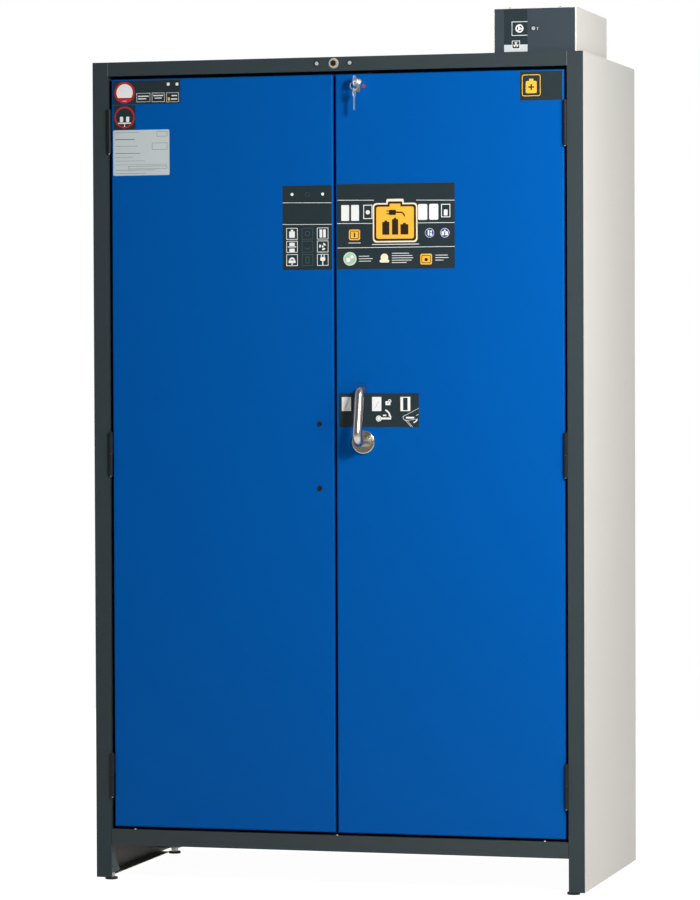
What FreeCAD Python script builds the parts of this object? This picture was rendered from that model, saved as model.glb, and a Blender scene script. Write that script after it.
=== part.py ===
import FreeCAD, Part
import Sketcher
import math
import os
import re

# Fire-rated battery cabinet with two inset wing doors and an exhaust fan on its roof.
# Millimetres. +X is to the right, +Y to the back, +Z up, and the doors face -Y. The origin is on
# the floor under the middle of the whole footprint, lever handle included, so the carcass stands a
# little behind it.

doc = FreeCAD.newDocument("battery_cabinet")

driving = {
    # carcass and front frame
    "width": 1193, "depth": 615, "height": 1953, "floor_gap": 6, "sheet": 1.5,
    "jamb_face": 38, "header_face": 33, "plinth_height": 84.5, "rail_face": 38, "frame_depth": 53.5,
    "flange": 15, "panel_lip": 24, "notch_margin": 1,
    "side_board": 70, "rear_board": 42, "top_board": 70, "base_board": 75,
    # doors
    "side_gap": 8, "top_gap": 8, "bottom_gap": 6.5, "meeting_gap": 7, "door_recess": 3,
    "door_depth": 47, "door_sheet": 1.2, "door_return": 42, "door_round": 3,
    "seal_width": 18, "seal_inset": 4, "seal_gap": 0.5,
    # hinges
    "hinge_length": 105, "hinge_end": 123.5, "hinge_radius": 4.5, "hinge_proud": 3,
    "hinge_pin": 2, "hinge_slack": 0.05, "hinge_leaf": 2, "hinge_leaf_depth": 38, "hinge_split": 0.5,
    "hinge_pin_proud": 2, "hinge_pin_short": 3,
    # lever handle and rose
    "lever_side": 70, "lever_level": 1050, "lever_height": 135, "tube_radius": 11,
    "lever_reach": 60, "lever_lean": 19, "lever_bend": 20, "lever_end_gap": 9,
    "rose_radius": 27.5, "rose_depth": 8, "rose_round": 2, "running_fit": 0.05,
    "spindle_side": 8, "spindle_hole": 6.5,
    # lock case, pinion and bolt rods
    "case_width": 50, "case_height": 120, "case_depth": 20, "case_wall": 1.5,
    "hub_radius": 6, "hub_length": 12, "bar_width": 8, "bar_depth": 6, "bar_offset": 9,
    "bar_overlap": 30, "bar_clearance": 0.3, "channel_clearance": 2, "bolt_proud": 3.5,
    # lock cylinder and keys
    "lock_side": 59, "lock_drop": 18.5, "lock_radius": 8.5, "lock_height": 33, "lock_slot": 10,
    "lock_proud": 4, "lock_length": 32, "plug_radius": 6.5, "plug_length": 26,
    "key_thick": 2.4, "key_width": 7, "key_shank": 14, "key_root": 2, "bow_radius": 13, "bow_hole": 3,
    "bow_inset": 8.5, "ring_radius": 9.5, "ring_wire": 0.9, "ring_flat": 1, "hang_gap": 0.3,
    "spare_bow": 11, "spare_drop": 41,
    # header controls
    "switch_drop": 15, "switch_radius": 12.5, "switch_barrel": 9.3, "switch_core": 7,
    "switch_bevel": 2, "switch_proud": 3, "switch_length": 28, "keyway_width": 2, "keyway_height": 8,
    "lamp_pitch": 40, "lamp_radius": 6.5, "lamp_lens": 4.5, "lamp_stem": 4, "lamp_proud": 2,
    "lens_proud": 1, "lamp_length": 30,
    # closing plugs of the left door
    "plug_side": 37.5, "plug_head": 6, "plug_proud": 2, "plug_stem": 4, "plug_high": 1092, "plug_low": 941,
    # feet and foot brackets
    "foot_inset": 29, "foot_front": 19.5, "foot_back": 102.5, "foot_radius": 15, "foot_pad": 5,
    "stud_radius": 5, "stud_hole": 5.05, "stud_length": 34, "nut_radius": 9, "nut_gap": 0.3,
    "bracket_level": 16, "bracket_plate": 3, "gusset_reach": 60, "gusset_top": 6,
    "bracket_length": 50, "bracket_web": 40, "bracket_reach": 12,
    "gusset_slot_low": 28, "gusset_slot_high": 64.5, "gusset_slot_inset": 4,
    "gusset_slot_width": 4, "gusset_slot_height": 8,
    # inside
    "upright_width": 25, "upright_depth": 12, "upright_inset": 60, "upright_clear": 12,
    "hook_depth": 14, "hook_height": 6, "hook_inset": 6,
    "shelf_sheet": 1.5, "shelf_lip": 30, "shelf_clear": 2,
    "shelf_front": 12, "shelf_gap": 13, "shelf_pitch": 420, "shelf_low": 590,
    "shelf_count": 3, "shelf_slots": 10, "slot_rows": 4, "slot_length": 60, "slot_width": 24,
    "sump_height": 60, "sump_sheet": 2, "sump_clear": 5,
    "strip_width": 60, "strip_depth": 38, "strip_foot": 259, "strip_head": 181.5,
    "socket_radius": 21, "socket_recess": 12, "socket_count": 8, "socket_end": 97.5,
    # ventilation
    "duct_radius": 37.5, "duct_wall": 1.5, "collar_proud": 18, "collar_flange": 5, "collar_rim": 2,
    "supply_proud": 35, "supply_edge": 126.5, "supply_inset": 137.5,
    "fan_inset": 16.5, "fan_width": 196, "fan_front": 10.5, "fan_depth": 345, "fan_height": 103,
    "fan_sheet": 1.5, "fan_lip": 4, "fan_foot": 14, "cover_return": 14,
    "wheel_radius": 70, "wheel_height": 34, "wheel_plate": 2, "wheel_eye": 38, "wheel_blades": 9,
    "blade_thick": 2, "blade_root": 3, "blade_inset": 1, "blade_turn": 38, "wheel_gap": 4,
    "shaft_radius": 4, "shaft_gap": 6, "motor_radius": 32, "motor_height": 30, "motor_cap": 4,
    "spigot_length": 45, "spigot_flange": 10,
    "fan_lamp_inset": 94, "fan_lamp_level": 55, "fan_lamp_radius": 6.5,
    "fan_lamp_stem": 4.5, "fan_lamp_proud": 1.5, "fan_lamp_length": 12,
    "gland_inset": 31, "gland_level": 45, "gland_thread": 10, "gland_bore": 5, "gland_hex": 13.5,
    "gland_depth": 8, "gland_nut": 6, "gland_dome": 14, "gland_cap": 11,
}

derived = {
    "half_width": "width / 2",
    "setback": "(lever_reach + tube_radius - door_recess) / 2",
    "front": "setback - depth / 2",
    "back": "setback + depth / 2",
    "side_inner": "half_width - sheet",
    "back_inner": "back - sheet",
    "top_inner": "height - sheet",
    "jamb_inner": "half_width - jamb_face",
    "board_front": "front + frame_depth",
    "board_base": "plinth_height + sheet",
    "room_side": "side_inner - side_board",
    "room_back": "back_inner - rear_board",
    "room_top": "top_inner - top_board",
    "room_base": "board_base + base_board",
    "header_base": "height - header_face",
    "rail_top": "plinth_height + rail_face",
    "door_outer": "jamb_inner - side_gap",
    "door_inner": "meeting_gap / 2",
    "door_top": "header_base - top_gap",
    "door_base": "rail_top + bottom_gap",
    "door_front": "front + door_recess",
    "door_back": "door_front + door_depth",
    "door_core": "door_front + door_sheet",
    "door_middle": "(door_top + door_base) / 2",
    "hinge_pitch": "(door_top - door_base) / 2 - hinge_end",
    "switch_level": "height - switch_drop",
    "seal_front": "door_back + seal_gap",
    "hinge_side": "jamb_inner - side_gap / 2",
    "hinge_front": "front - hinge_proud",
    "lever_front": "door_front - lever_reach",
    "lever_top": "lever_level + lever_height - tube_radius",
    "case_low": "lever_level - case_height / 2",
    "case_high": "lever_level + case_height / 2",
    "case_back": "door_core + case_depth",
    "case_left": "lever_side - case_width / 2",
    "case_right": "lever_side + case_width / 2",
    "bar_front": "door_core + (case_depth - bar_depth) / 2",
    "bar_back": "bar_front + bar_depth",
    "lock_level": "door_top - lock_drop",
    "lock_front": "door_front - lock_proud",
    "lock_left": "lock_side - lock_slot / 2",
    "lock_right": "lock_side + lock_slot / 2",
    "lock_toe": "lock_level + lock_radius - lock_height",
    "lock_back": "door_front + lock_length",
    "key_left": "lock_side - key_thick / 2",
    "key_right": "lock_side + key_thick / 2",
    "bow_front": "lock_front - key_shank - 2 * bow_radius",
    "ring_level": "lock_level - bow_hole + ring_wire + hang_gap - ring_radius",
    "spare_eye": "ring_level - ring_radius - bow_hole + ring_wire + hang_gap",
    "spare_centre": "spare_eye + bow_inset - bow_radius",
    "rear_foot": "back - foot_back",
    "ring_front": "bow_front + bow_inset",
    "foot_side": "side_inner - foot_inset",
    "nut_height": "bracket_level - foot_pad - nut_gap",
    "supply_side": "half_width - supply_edge",
    "supply_back": "back - supply_inset",
    "fan_right": "half_width - fan_inset",
    "fan_left": "fan_right - fan_width",
    "fan_lamp_side": "fan_left + fan_lamp_inset",
    "gland_side": "fan_left + gland_inset",
    "fan_near": "front + fan_front",
    "fan_far": "fan_near + fan_depth",
    "fan_top": "height + fan_height",
    "fan_centre": "(fan_left + fan_right) / 2",
    "fan_axis": "fan_near + fan_depth / 2",
    "fan_inner": "fan_far - fan_sheet",
    "motor_base": "fan_top - fan_sheet - motor_height",
    "collar_base": "room_top - collar_rim",
    "fan_lamp_height": "height + fan_lamp_level",
    "gland_height": "height + gland_level",
    "gland_start": "fan_inner - gland_depth",
    "wheel_base": "height + collar_proud + wheel_gap",
    "shelf_side": "room_side - upright_depth - shelf_clear",
    "shelf_near": "board_front + shelf_front",
    "shelf_far": "room_back - strip_depth - shelf_gap",
    "shelf_depth": "shelf_far - shelf_near",
    "strip_low": "room_base + strip_foot",
    "strip_length": "room_top - strip_head - strip_low",
    "socket_low": "strip_low + socket_end",
    "socket_pitch": "(strip_length - 2 * socket_end) / (socket_count - 1)",
}

sheet = doc.addObject("Spreadsheet::Sheet", "Sizes")
for row, (word, number) in enumerate(driving.items(), 1):
    sheet.set(f"A{row}", word)
    sheet.set(f"B{row}", str(number))
    sheet.setAlias(f"B{row}", word)
doc.recompute()

nodes = []


# Size words become references to the sheet, and a derived size is opened up into its formula.
def formula(text):
    def swap(match):
        word = match.group()
        if word in derived:
            return f"({formula(derived[word])})"
        return f"Sizes.{word}" if word in driving else word
    return re.sub(r"[a-z][a-z_]*", swap, str(text))


def bind(item, **sizes):
    for place, text in sizes.items():
        item.setExpression(place.replace("_to_", "."), formula(text))


def move(item, x=None, y=None, z=None):
    for axis, text in zip("xyz", (x, y, z)):
        if text is not None:
            item.setExpression(f"Placement.Base.{axis}", formula(text))
    return item


def keep(name, item):
    item.Label = name
    nodes.append(item)
    return item


# A plain block between two opposite corners.
def block(name, low, high):
    item = doc.addObject("Part::Box", name)
    for side, start, end in zip(("Length", "Width", "Height"), low, high):
        item.setExpression(side, formula(f"({end}) - ({start})"))
    return move(item, *low)


turns = {
    "x": FreeCAD.Rotation(FreeCAD.Vector(0, 1, 0), 90),
    "y": FreeCAD.Rotation(FreeCAD.Vector(1, 0, 0), -90),
    "z": FreeCAD.Rotation(),
}


# A round bar that starts at a point and runs along +x, +y or +z.
def bar(name, start, along, radius, length):
    item = doc.addObject("Part::Cylinder", name)
    item.Placement = FreeCAD.Placement(FreeCAD.Vector(), turns[along])
    bind(item, Radius=radius, Height=length)
    return move(item, *start)


def hexagon(name, start, along, corner, length):
    item = doc.addObject("Part::Prism", name)
    item.Polygon = 6
    item.Placement = FreeCAD.Placement(FreeCAD.Vector(), turns[along])
    bind(item, Circumradius=corner, Height=length)
    return move(item, *start)


def fuse(name, *pieces):
    item = doc.addObject("Part::MultiFuse", name)
    item.Shapes = list(pieces)
    item.Refine = True
    return item


def cut(name, solid, *tools):
    item = doc.addObject("Part::Cut", name)
    item.Base = solid
    item.Tool = tools[0] if len(tools) == 1 else fuse(name + "_tools", *tools)
    return item


def group(name, *pieces):
    item = doc.addObject("Part::Compound", name)
    item.Links = list(pieces)
    return item


def mirrored(name, source):
    item = doc.addObject("Part::Mirroring", name)
    item.Source = source
    item.Normal = FreeCAD.Vector(1, 0, 0)
    return item


def origin_part(body, role):
    return next(part for part in body.Origin.OriginFeatures if part.Role == role)


def sketch_on(body, role, offset="0"):
    sketch = body.newObject("Sketcher::SketchObject", body.Name + "_sketch")
    sketch.AttachmentSupport = [(origin_part(body, role), "")]
    sketch.MapMode = "FlatFace"
    sketch.setExpression("AttachmentOffset.Base.z", formula(offset))
    return sketch


def hold(sketch, kind, edge, point, value, text):
    number = sketch.addConstraint(Sketcher.Constraint(kind, -1, 1, edge, point, value))
    sketch.setExpression(f"Constraints[{number}]", formula(text))


# A closed outline through points given as pairs of formulas.
def outline(sketch, points):
    first = len(sketch.Geometry)
    count = len(points)
    spots = []
    for number in range(count):
        turn = 2 * math.pi * number / count
        spots.append((100 * math.cos(turn), 100 * math.sin(turn)))
    for number, spot in enumerate(spots):
        after = spots[(number + 1) % count]
        sketch.addGeometry(Part.LineSegment(FreeCAD.Vector(*spot, 0), FreeCAD.Vector(*after, 0)))
    for number in range(count):
        following = first + (number + 1) % count
        sketch.addConstraint(Sketcher.Constraint("Coincident", first + number, 2, following, 1))
    for number, (spot, point) in enumerate(zip(spots, points)):
        hold(sketch, "DistanceX", first + number, 1, spot[0], point[0])
        hold(sketch, "DistanceY", first + number, 1, spot[1], point[1])


def rectangle(sketch, low, high):
    outline(sketch, [low, (high[0], low[1]), high, (low[0], high[1])])


def circle(sketch, centre, radius):
    number = len(sketch.Geometry)
    spot = FreeCAD.Vector(50, 50, 0)
    sketch.addGeometry(Part.Circle(spot, FreeCAD.Vector(0, 0, 1), 5))
    limit = sketch.addConstraint(Sketcher.Constraint("Radius", number, 5))
    sketch.setExpression(f"Constraints[{limit}]", formula(radius))
    hold(sketch, "DistanceX", number, 3, spot.x, centre[0])
    hold(sketch, "DistanceY", number, 3, spot.y, centre[1])


def new_body(name):
    return doc.addObject("PartDesign::Body", name)


def pad(body, sketch, length, both_ways=False):
    item = body.newObject("PartDesign::Pad", body.Name + "_pad")
    item.Profile = sketch
    item.SideType = "Symmetric" if both_ways else "One side"
    bind(item, Length=length)
    return item


def pocket(body, sketch, depth=None):
    item = body.newObject("PartDesign::Pocket", body.Name + "_pocket")
    item.Profile = sketch
    if depth is None:
        item.Type = "ThroughAll"
        item.SideType = "Symmetric"
    else:
        bind(item, Length=depth)
    return item


# Front jamb: a C profile, notched at the roof and cut open in the plinth.
def jamb(name):
    body = new_body(name)
    profile = sketch_on(body, "XY_Plane", "floor_gap")
    outline(profile, [
        ("jamb_inner", "front"),
        ("half_width", "front"),
        ("half_width", "front + sheet"),
        ("side_inner", "front + sheet"),
        ("side_inner", "board_front"),
        ("side_inner - sheet", "board_front"),
        ("side_inner - sheet", "front + sheet"),
        ("jamb_inner + sheet", "front + sheet"),
        ("jamb_inner + sheet", "board_front - sheet"),
        ("jamb_inner + flange", "board_front - sheet"),
        ("jamb_inner + flange", "board_front"),
        ("jamb_inner", "board_front"),
    ])
    pad(body, profile, "height - floor_gap")
    roof_notch = sketch_on(body, "XY_Plane", "height")
    rectangle(roof_notch, ("jamb_inner - notch_margin", "front + sheet"),
              ("side_inner", "board_front + notch_margin"))
    pocket(body, roof_notch, "sheet")
    plinth_notch = sketch_on(body, "XY_Plane", "plinth_height")
    rectangle(plinth_notch, ("jamb_inner - notch_margin", "front + sheet"),
              ("jamb_inner + flange + notch_margin", "board_front + notch_margin"))
    pocket(body, plinth_notch, "plinth_height")
    return body


def front_frame():
    right = keep("frame_jamb_right", jamb("jamb_right"))
    keep("frame_jamb_left", mirrored("jamb_left", right))

    header = new_body("header")
    section = sketch_on(header, "YZ_Plane")
    outline(section, [
        ("front", "header_base"),
        ("board_front", "header_base"),
        ("board_front", "header_base + flange"),
        ("board_front - sheet", "header_base + flange"),
        ("board_front - sheet", "header_base + sheet"),
        ("front + sheet", "header_base + sheet"),
        ("front + sheet", "height"),
        ("front", "height"),
    ])
    pad(header, section, "2 * jamb_inner", both_ways=True)
    holes = sketch_on(header, "XZ_Plane")
    circle(holes, ("0", "switch_level"), "switch_barrel")
    circle(holes, ("0 - lamp_pitch", "switch_level"), "lamp_stem")
    circle(holes, ("lamp_pitch", "switch_level"), "lamp_stem")
    # the holes go through the front plate only, which stands a sheet behind the front plane
    holes.setExpression("AttachmentOffset.Base.z", formula("0 - front"))
    pocket(header, holes, "2 * sheet")
    keep("frame_header", header)

    rail = new_body("bottom_rail")
    section = sketch_on(rail, "YZ_Plane")
    outline(section, [
        ("front", "plinth_height"),
        ("board_front", "plinth_height"),
        ("board_front", "plinth_height + sheet"),
        ("front + sheet", "plinth_height + sheet"),
        ("front + sheet", "rail_top - sheet"),
        ("board_front - sheet", "rail_top - sheet"),
        ("board_front - sheet", "rail_top - flange"),
        ("board_front", "rail_top - flange"),
        ("board_front", "rail_top"),
        ("front", "rail_top"),
    ])
    pad(rail, section, "2 * jamb_inner", both_ways=True)
    keep("frame_bottom_rail", rail)


def carcass():
    skin = block("side_skin", ("side_inner", "front + sheet", "floor_gap"),
                 ("half_width", "back", "height"))
    lip = block("side_lip", ("side_inner - panel_lip", "board_front", "floor_gap"),
                ("side_inner", "rear_foot - bracket_length / 2", "floor_gap + sheet"))
    right = keep("side_panel_right", fuse("side_right", skin, lip))
    keep("side_panel_left", mirrored("side_left", right))
    keep("rear_panel", block("rear", ("0 - side_inner", "back_inner", "floor_gap"),
                             ("side_inner", "back", "height")))
    keep("base_panel", block("base", ("0 - side_inner", "board_front", "plinth_height"),
                             ("side_inner", "back_inner", "board_base")))

    plate = block("roof_plate", ("0 - side_inner", "front + sheet", "top_inner"),
                  ("side_inner", "back_inner", "height"))
    supply = bar("supply_pipe", ("0 - supply_side", "supply_back", "top_inner"), "z", "duct_radius",
                 "sheet + supply_proud")
    supply_bore = bar("supply_bore", ("0 - supply_side", "supply_back", "top_inner"), "z",
                      "duct_radius - duct_wall", "sheet + supply_proud")
    exhaust = bar("roof_exhaust", ("fan_centre", "fan_axis", "top_inner"), "z", "duct_radius", "sheet")
    keep("roof_panel", cut("roof", fuse("roof_solid", plate, supply), supply_bore, exhaust))

    right = keep("wall_board_right", block("board_right", ("room_side", "board_front", "board_base"),
                                           ("side_inner", "back_inner", "top_inner")))
    keep("wall_board_left", mirrored("board_left", right))
    keep("wall_board_rear", block("board_rear", ("0 - room_side", "room_back", "board_base"),
                                  ("room_side", "back_inner", "top_inner")))
    keep("wall_board_base", block("board_floor", ("0 - room_side", "board_front", "board_base"),
                                  ("room_side", "room_back", "room_base")))
    ceiling = block("ceiling", ("0 - room_side", "board_front", "room_top"),
                    ("room_side", "room_back", "top_inner"))
    supply_hole = bar("ceiling_supply", ("0 - supply_side", "supply_back", "room_top"), "z",
                      "duct_radius - duct_wall", "top_board")
    exhaust_hole = bar("ceiling_exhaust", ("fan_centre", "fan_axis", "room_top"), "z", "duct_radius",
                       "top_board")
    keep("wall_board_top", cut("board_top", ceiling, supply_hole, exhaust_hole))


def seal():
    outer = "room_side + seal_inset + seal_width"
    inner = "room_side + seal_inset"
    low = "room_base - seal_inset - seal_width"
    high = "room_top + seal_inset + seal_width"
    right = block("seal_right", (inner, "seal_front", low), (outer, "board_front", high))
    left = block("seal_left", (f"0 - ({outer})", "seal_front", low),
                 (f"0 - ({inner})", "board_front", high))
    top = block("seal_top", (f"0 - ({inner})", "seal_front", "room_top + seal_inset"),
                (inner, "board_front", high))
    base = block("seal_base", (f"0 - ({inner})", "seal_front", low),
                 (inner, "board_front", "room_base - seal_inset"))
    keep("frame_seal", group("seal", right, left, top, base))


# Slotted uprights on both walls, with a hook under each shelf, and the shelves on them.
def shelving():
    spots = ("board_front + upright_inset", "shelf_far - upright_inset")
    uprights = []
    for number, spot in enumerate(spots):
        post = block(f"upright_{number}",
                     ("room_side - upright_depth", spot, "room_base + sump_height + upright_clear"),
                     ("room_side", f"{spot} + upright_width", "room_top - upright_clear"))
        pieces = [post]
        for level in range(driving["shelf_count"]):
            top = f"shelf_low + {level} * shelf_pitch - shelf_sheet"
            near = f"{spot} + hook_inset"
            far = f"{spot} + upright_width - hook_inset"
            pieces.append(block(f"hook_{number}_{level}",
                                ("room_side - upright_depth - hook_depth", near, f"{top} - hook_height"),
                                ("room_side - upright_depth", far, top)))
        uprights.append(fuse(f"upright_full_{number}", *pieces))
    right = keep("shelf_uprights_right", group("uprights_right", *uprights))
    keep("shelf_uprights_left", mirrored("uprights_left", right))

    for level in range(driving["shelf_count"]):
        top = f"shelf_low + {level} * shelf_pitch"
        body = new_body(f"shelf_body_{level}")
        section = sketch_on(body, "YZ_Plane")
        outline(section, [
            ("shelf_near", f"{top} - shelf_lip"),
            ("shelf_near + shelf_sheet", f"{top} - shelf_lip"),
            ("shelf_near + shelf_sheet", f"{top} - shelf_sheet"),
            ("shelf_far - shelf_sheet", f"{top} - shelf_sheet"),
            ("shelf_far - shelf_sheet", f"{top} - shelf_lip"),
            ("shelf_far", f"{top} - shelf_lip"),
            ("shelf_far", top),
            ("shelf_near", top),
        ])
        pad(body, section, "2 * shelf_side", both_ways=True)
        first = sketch_on(body, "XY_Plane", top)
        step = "2 * shelf_side / shelf_slots"
        row_step = "shelf_depth / slot_rows"
        left = f"({step}) / 2 - shelf_side - slot_length / 2"
        near = f"shelf_near + ({row_step}) / 2 - slot_width / 2"
        rectangle(first, (left, near), (f"{left} + slot_length", f"{near} + slot_width"))
        slot = pocket(body, first, "2 * shelf_sheet")
        columns = body.newObject("PartDesign::LinearPattern", body.Name + "_columns")
        columns.Originals = [slot]
        columns.Direction = (origin_part(body, "X_Axis"), [""])
        columns.Mode = "Spacing"
        columns.Direction2 = (origin_part(body, "Y_Axis"), [""])
        columns.Mode2 = "Spacing"
        bind(columns, Offset=step, Occurrences="shelf_slots", Offset2=row_step, Occurrences2="slot_rows")
        body.Tip = columns
        keep(f"shelf_{level + 1}", body)

    pan = block("sump_pan", ("sump_clear - room_side", "board_front + sump_clear", "room_base"),
                ("room_side - sump_clear", "room_back - sump_clear", "room_base + sump_height"))
    hollow = block("sump_hollow",
                   ("sump_clear + sump_sheet - room_side", "board_front + sump_clear + sump_sheet",
                    "room_base + sump_sheet"),
                   ("room_side - sump_clear - sump_sheet", "room_back - sump_clear - sump_sheet",
                    "room_base + sump_height"))
    keep("sump_tray", cut("sump", pan, hollow))


# Upright strip of charging sockets on the rear board, each socket a round recess.
def socket_strip():
    body = new_body("strip")
    face = sketch_on(body, "XZ_Plane", "0 - room_back")
    rectangle(face, ("0 - strip_width / 2", "strip_low"), ("strip_width / 2", "strip_low + strip_length"))
    pad(body, face, "strip_depth")
    first = sketch_on(body, "XZ_Plane", "strip_depth - room_back")
    circle(first, ("0", "socket_low"), "socket_radius")
    recess = pocket(body, first, "socket_recess")
    row = body.newObject("PartDesign::LinearPattern", "socket_row")
    row.Originals = [recess]
    row.Direction = (origin_part(body, "Z_Axis"), [""])
    row.Mode = "Spacing"
    bind(row, Offset="socket_pitch", Occurrences="socket_count")
    body.Tip = row
    keep("socket_strip", body)


# A folded steel pan with rounded front edges, between two x places.
def door_skin(name, low, high):
    body = new_body(name)
    face = sketch_on(body, "XZ_Plane", "0 - door_front - door_return")
    rectangle(face, (low, "door_base"), (high, "door_top"))
    solid = pad(body, face, "door_return")
    doc.recompute()
    front = solid.Shape.BoundBox.YMin
    edges = [f"Edge{number}" for number, edge in enumerate(solid.Shape.Edges, 1)
             if abs(edge.BoundBox.YMin - front) < 0.01 and edge.BoundBox.YLength < 0.01]
    rounding = body.newObject("PartDesign::Fillet", name + "_round")
    rounding.Base = (solid, edges)
    bind(rounding, Radius="door_round")
    inside = sketch_on(body, "XZ_Plane", "0 - door_core")
    rectangle(inside, (f"{low} + door_sheet", "door_base + door_sheet"),
              (f"{high} - door_sheet", "door_top - door_sheet"))
    pocket(body, inside, "door_return")
    return body


def door_board(name, low, high):
    return block(name, (f"{low} + door_sheet", "door_core", "door_base + door_sheet"),
                 (f"{high} - door_sheet", "door_back", "door_top - door_sheet"))


def left_door():
    low, high = "0 - door_outer", "0 - door_inner"
    body = door_skin("skin_left", low, high)
    holes = sketch_on(body, "XZ_Plane", "0 - door_front")
    for level in ("plug_high", "plug_low"):
        circle(holes, ("0 - plug_side", level), "plug_stem")
    pocket(body, holes, "2 * door_sheet")
    keep("door_skin_left", body)
    keep("door_board_left", door_board("core_left", low, high))
    plugs = []
    for level in ("plug_high", "plug_low"):
        head = bar(level + "_head", ("0 - plug_side", "door_front - plug_proud", level), "y",
                   "plug_head", "plug_proud")
        stem = bar(level + "_stem", ("0 - plug_side", "door_front", level), "y", "plug_stem", "door_sheet")
        plugs.append(fuse(level + "_plug", head, stem))
    keep("door_plugs", group("plugs", *plugs))


# The bars run beside the spindle: the upper one on its right, the lower one on its left.
bars = {
    "upper": ("lever_side + bar_offset", "lever_side + bar_offset + bar_width"),
    "lower": ("lever_side - bar_offset - bar_width", "lever_side - bar_offset"),
}


def right_door():
    low, high = "door_inner", "door_outer"
    body = door_skin("skin_right", low, high)
    slack = "bar_clearance"
    front_holes = sketch_on(body, "XZ_Plane", "0 - door_front")
    circle(front_holes, ("lever_side", "lever_level"), "spindle_hole")
    circle(front_holes, ("lock_side", "lock_level"), "lock_radius")
    pocket(body, front_holes, "2 * door_sheet")
    tail_hole = sketch_on(body, "XZ_Plane", "0 - door_front")
    rectangle(tail_hole, ("lock_left", "lock_toe"), ("lock_right", "lock_level"))
    pocket(body, tail_hole, "2 * door_sheet")
    for which, level, depth in (("upper", "door_top", "2 * door_sheet"),
                                ("lower", "door_base + 2 * door_sheet", "3 * door_sheet")):
        left, right = bars[which]
        guide = sketch_on(body, "XY_Plane", level)
        rectangle(guide, (f"{left} - {slack}", f"bar_front - {slack}"),
                  (f"{right} + {slack}", f"bar_back + {slack}"))
        pocket(body, guide, depth)
    keep("door_skin_right", body)

    core = door_board("core_right", low, high)
    tools = [
        block("case_room", ("case_left", "door_core", "case_low"), ("case_right", "case_back", "case_high")),
        bar("lock_room", ("lock_side", "door_core", "lock_level"), "y", "lock_radius", "lock_length"),
        block("lock_tail_room", ("lock_left", "door_core", "lock_toe"),
              ("lock_right", "door_core + lock_length", "lock_level")),
    ]
    ends = {
        "upper": ("case_high", "door_top - door_sheet"),
        "lower": ("door_base + door_sheet", "case_low"),
    }
    for which, (left, right) in bars.items():
        bottom, top = ends[which]
        tools.append(block(f"channel_{which}", (f"{left} - channel_clearance", "door_core", bottom),
                           (f"{right} + channel_clearance", "bar_back + channel_clearance", top)))
    keep("door_board_right", cut("core_right_cut", core, *tools))


def lock_work():
    slack = "bar_clearance"
    shell = block("case_shell", ("case_left", "door_core", "case_low"),
                  ("case_right", "case_back", "case_high"))
    tools = [
        block("case_hollow", ("case_left + case_wall", "door_core + case_wall", "case_low + case_wall"),
              ("case_right - case_wall", "case_back - case_wall", "case_high - case_wall")),
        bar("case_hole", ("lever_side", "door_core", "lever_level"), "y", "spindle_hole", "case_wall"),
    ]
    spans = {
        "upper": ("case_high - case_wall", "case_high"),
        "lower": ("case_low", "case_low + case_wall"),
    }
    for which, (left, right) in bars.items():
        bottom, top = spans[which]
        tools.append(block(f"case_slot_{which}", (f"{left} - {slack}", f"bar_front - {slack}", bottom),
                           (f"{right} + {slack}", f"bar_back + {slack}", top)))
    keep("lock_case", cut("case", shell, *tools))

    left, right = bars["upper"]
    keep("bolt_rod_upper", block("rod_upper", (left, "bar_front", "lever_level - bar_overlap"),
                                 (right, "bar_back", "door_top + bolt_proud")))
    left, right = bars["lower"]
    keep("bolt_rod_lower", block("rod_lower", (left, "bar_front", "door_base - bolt_proud"),
                                 (right, "bar_back", "lever_level + bar_overlap")))


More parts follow.
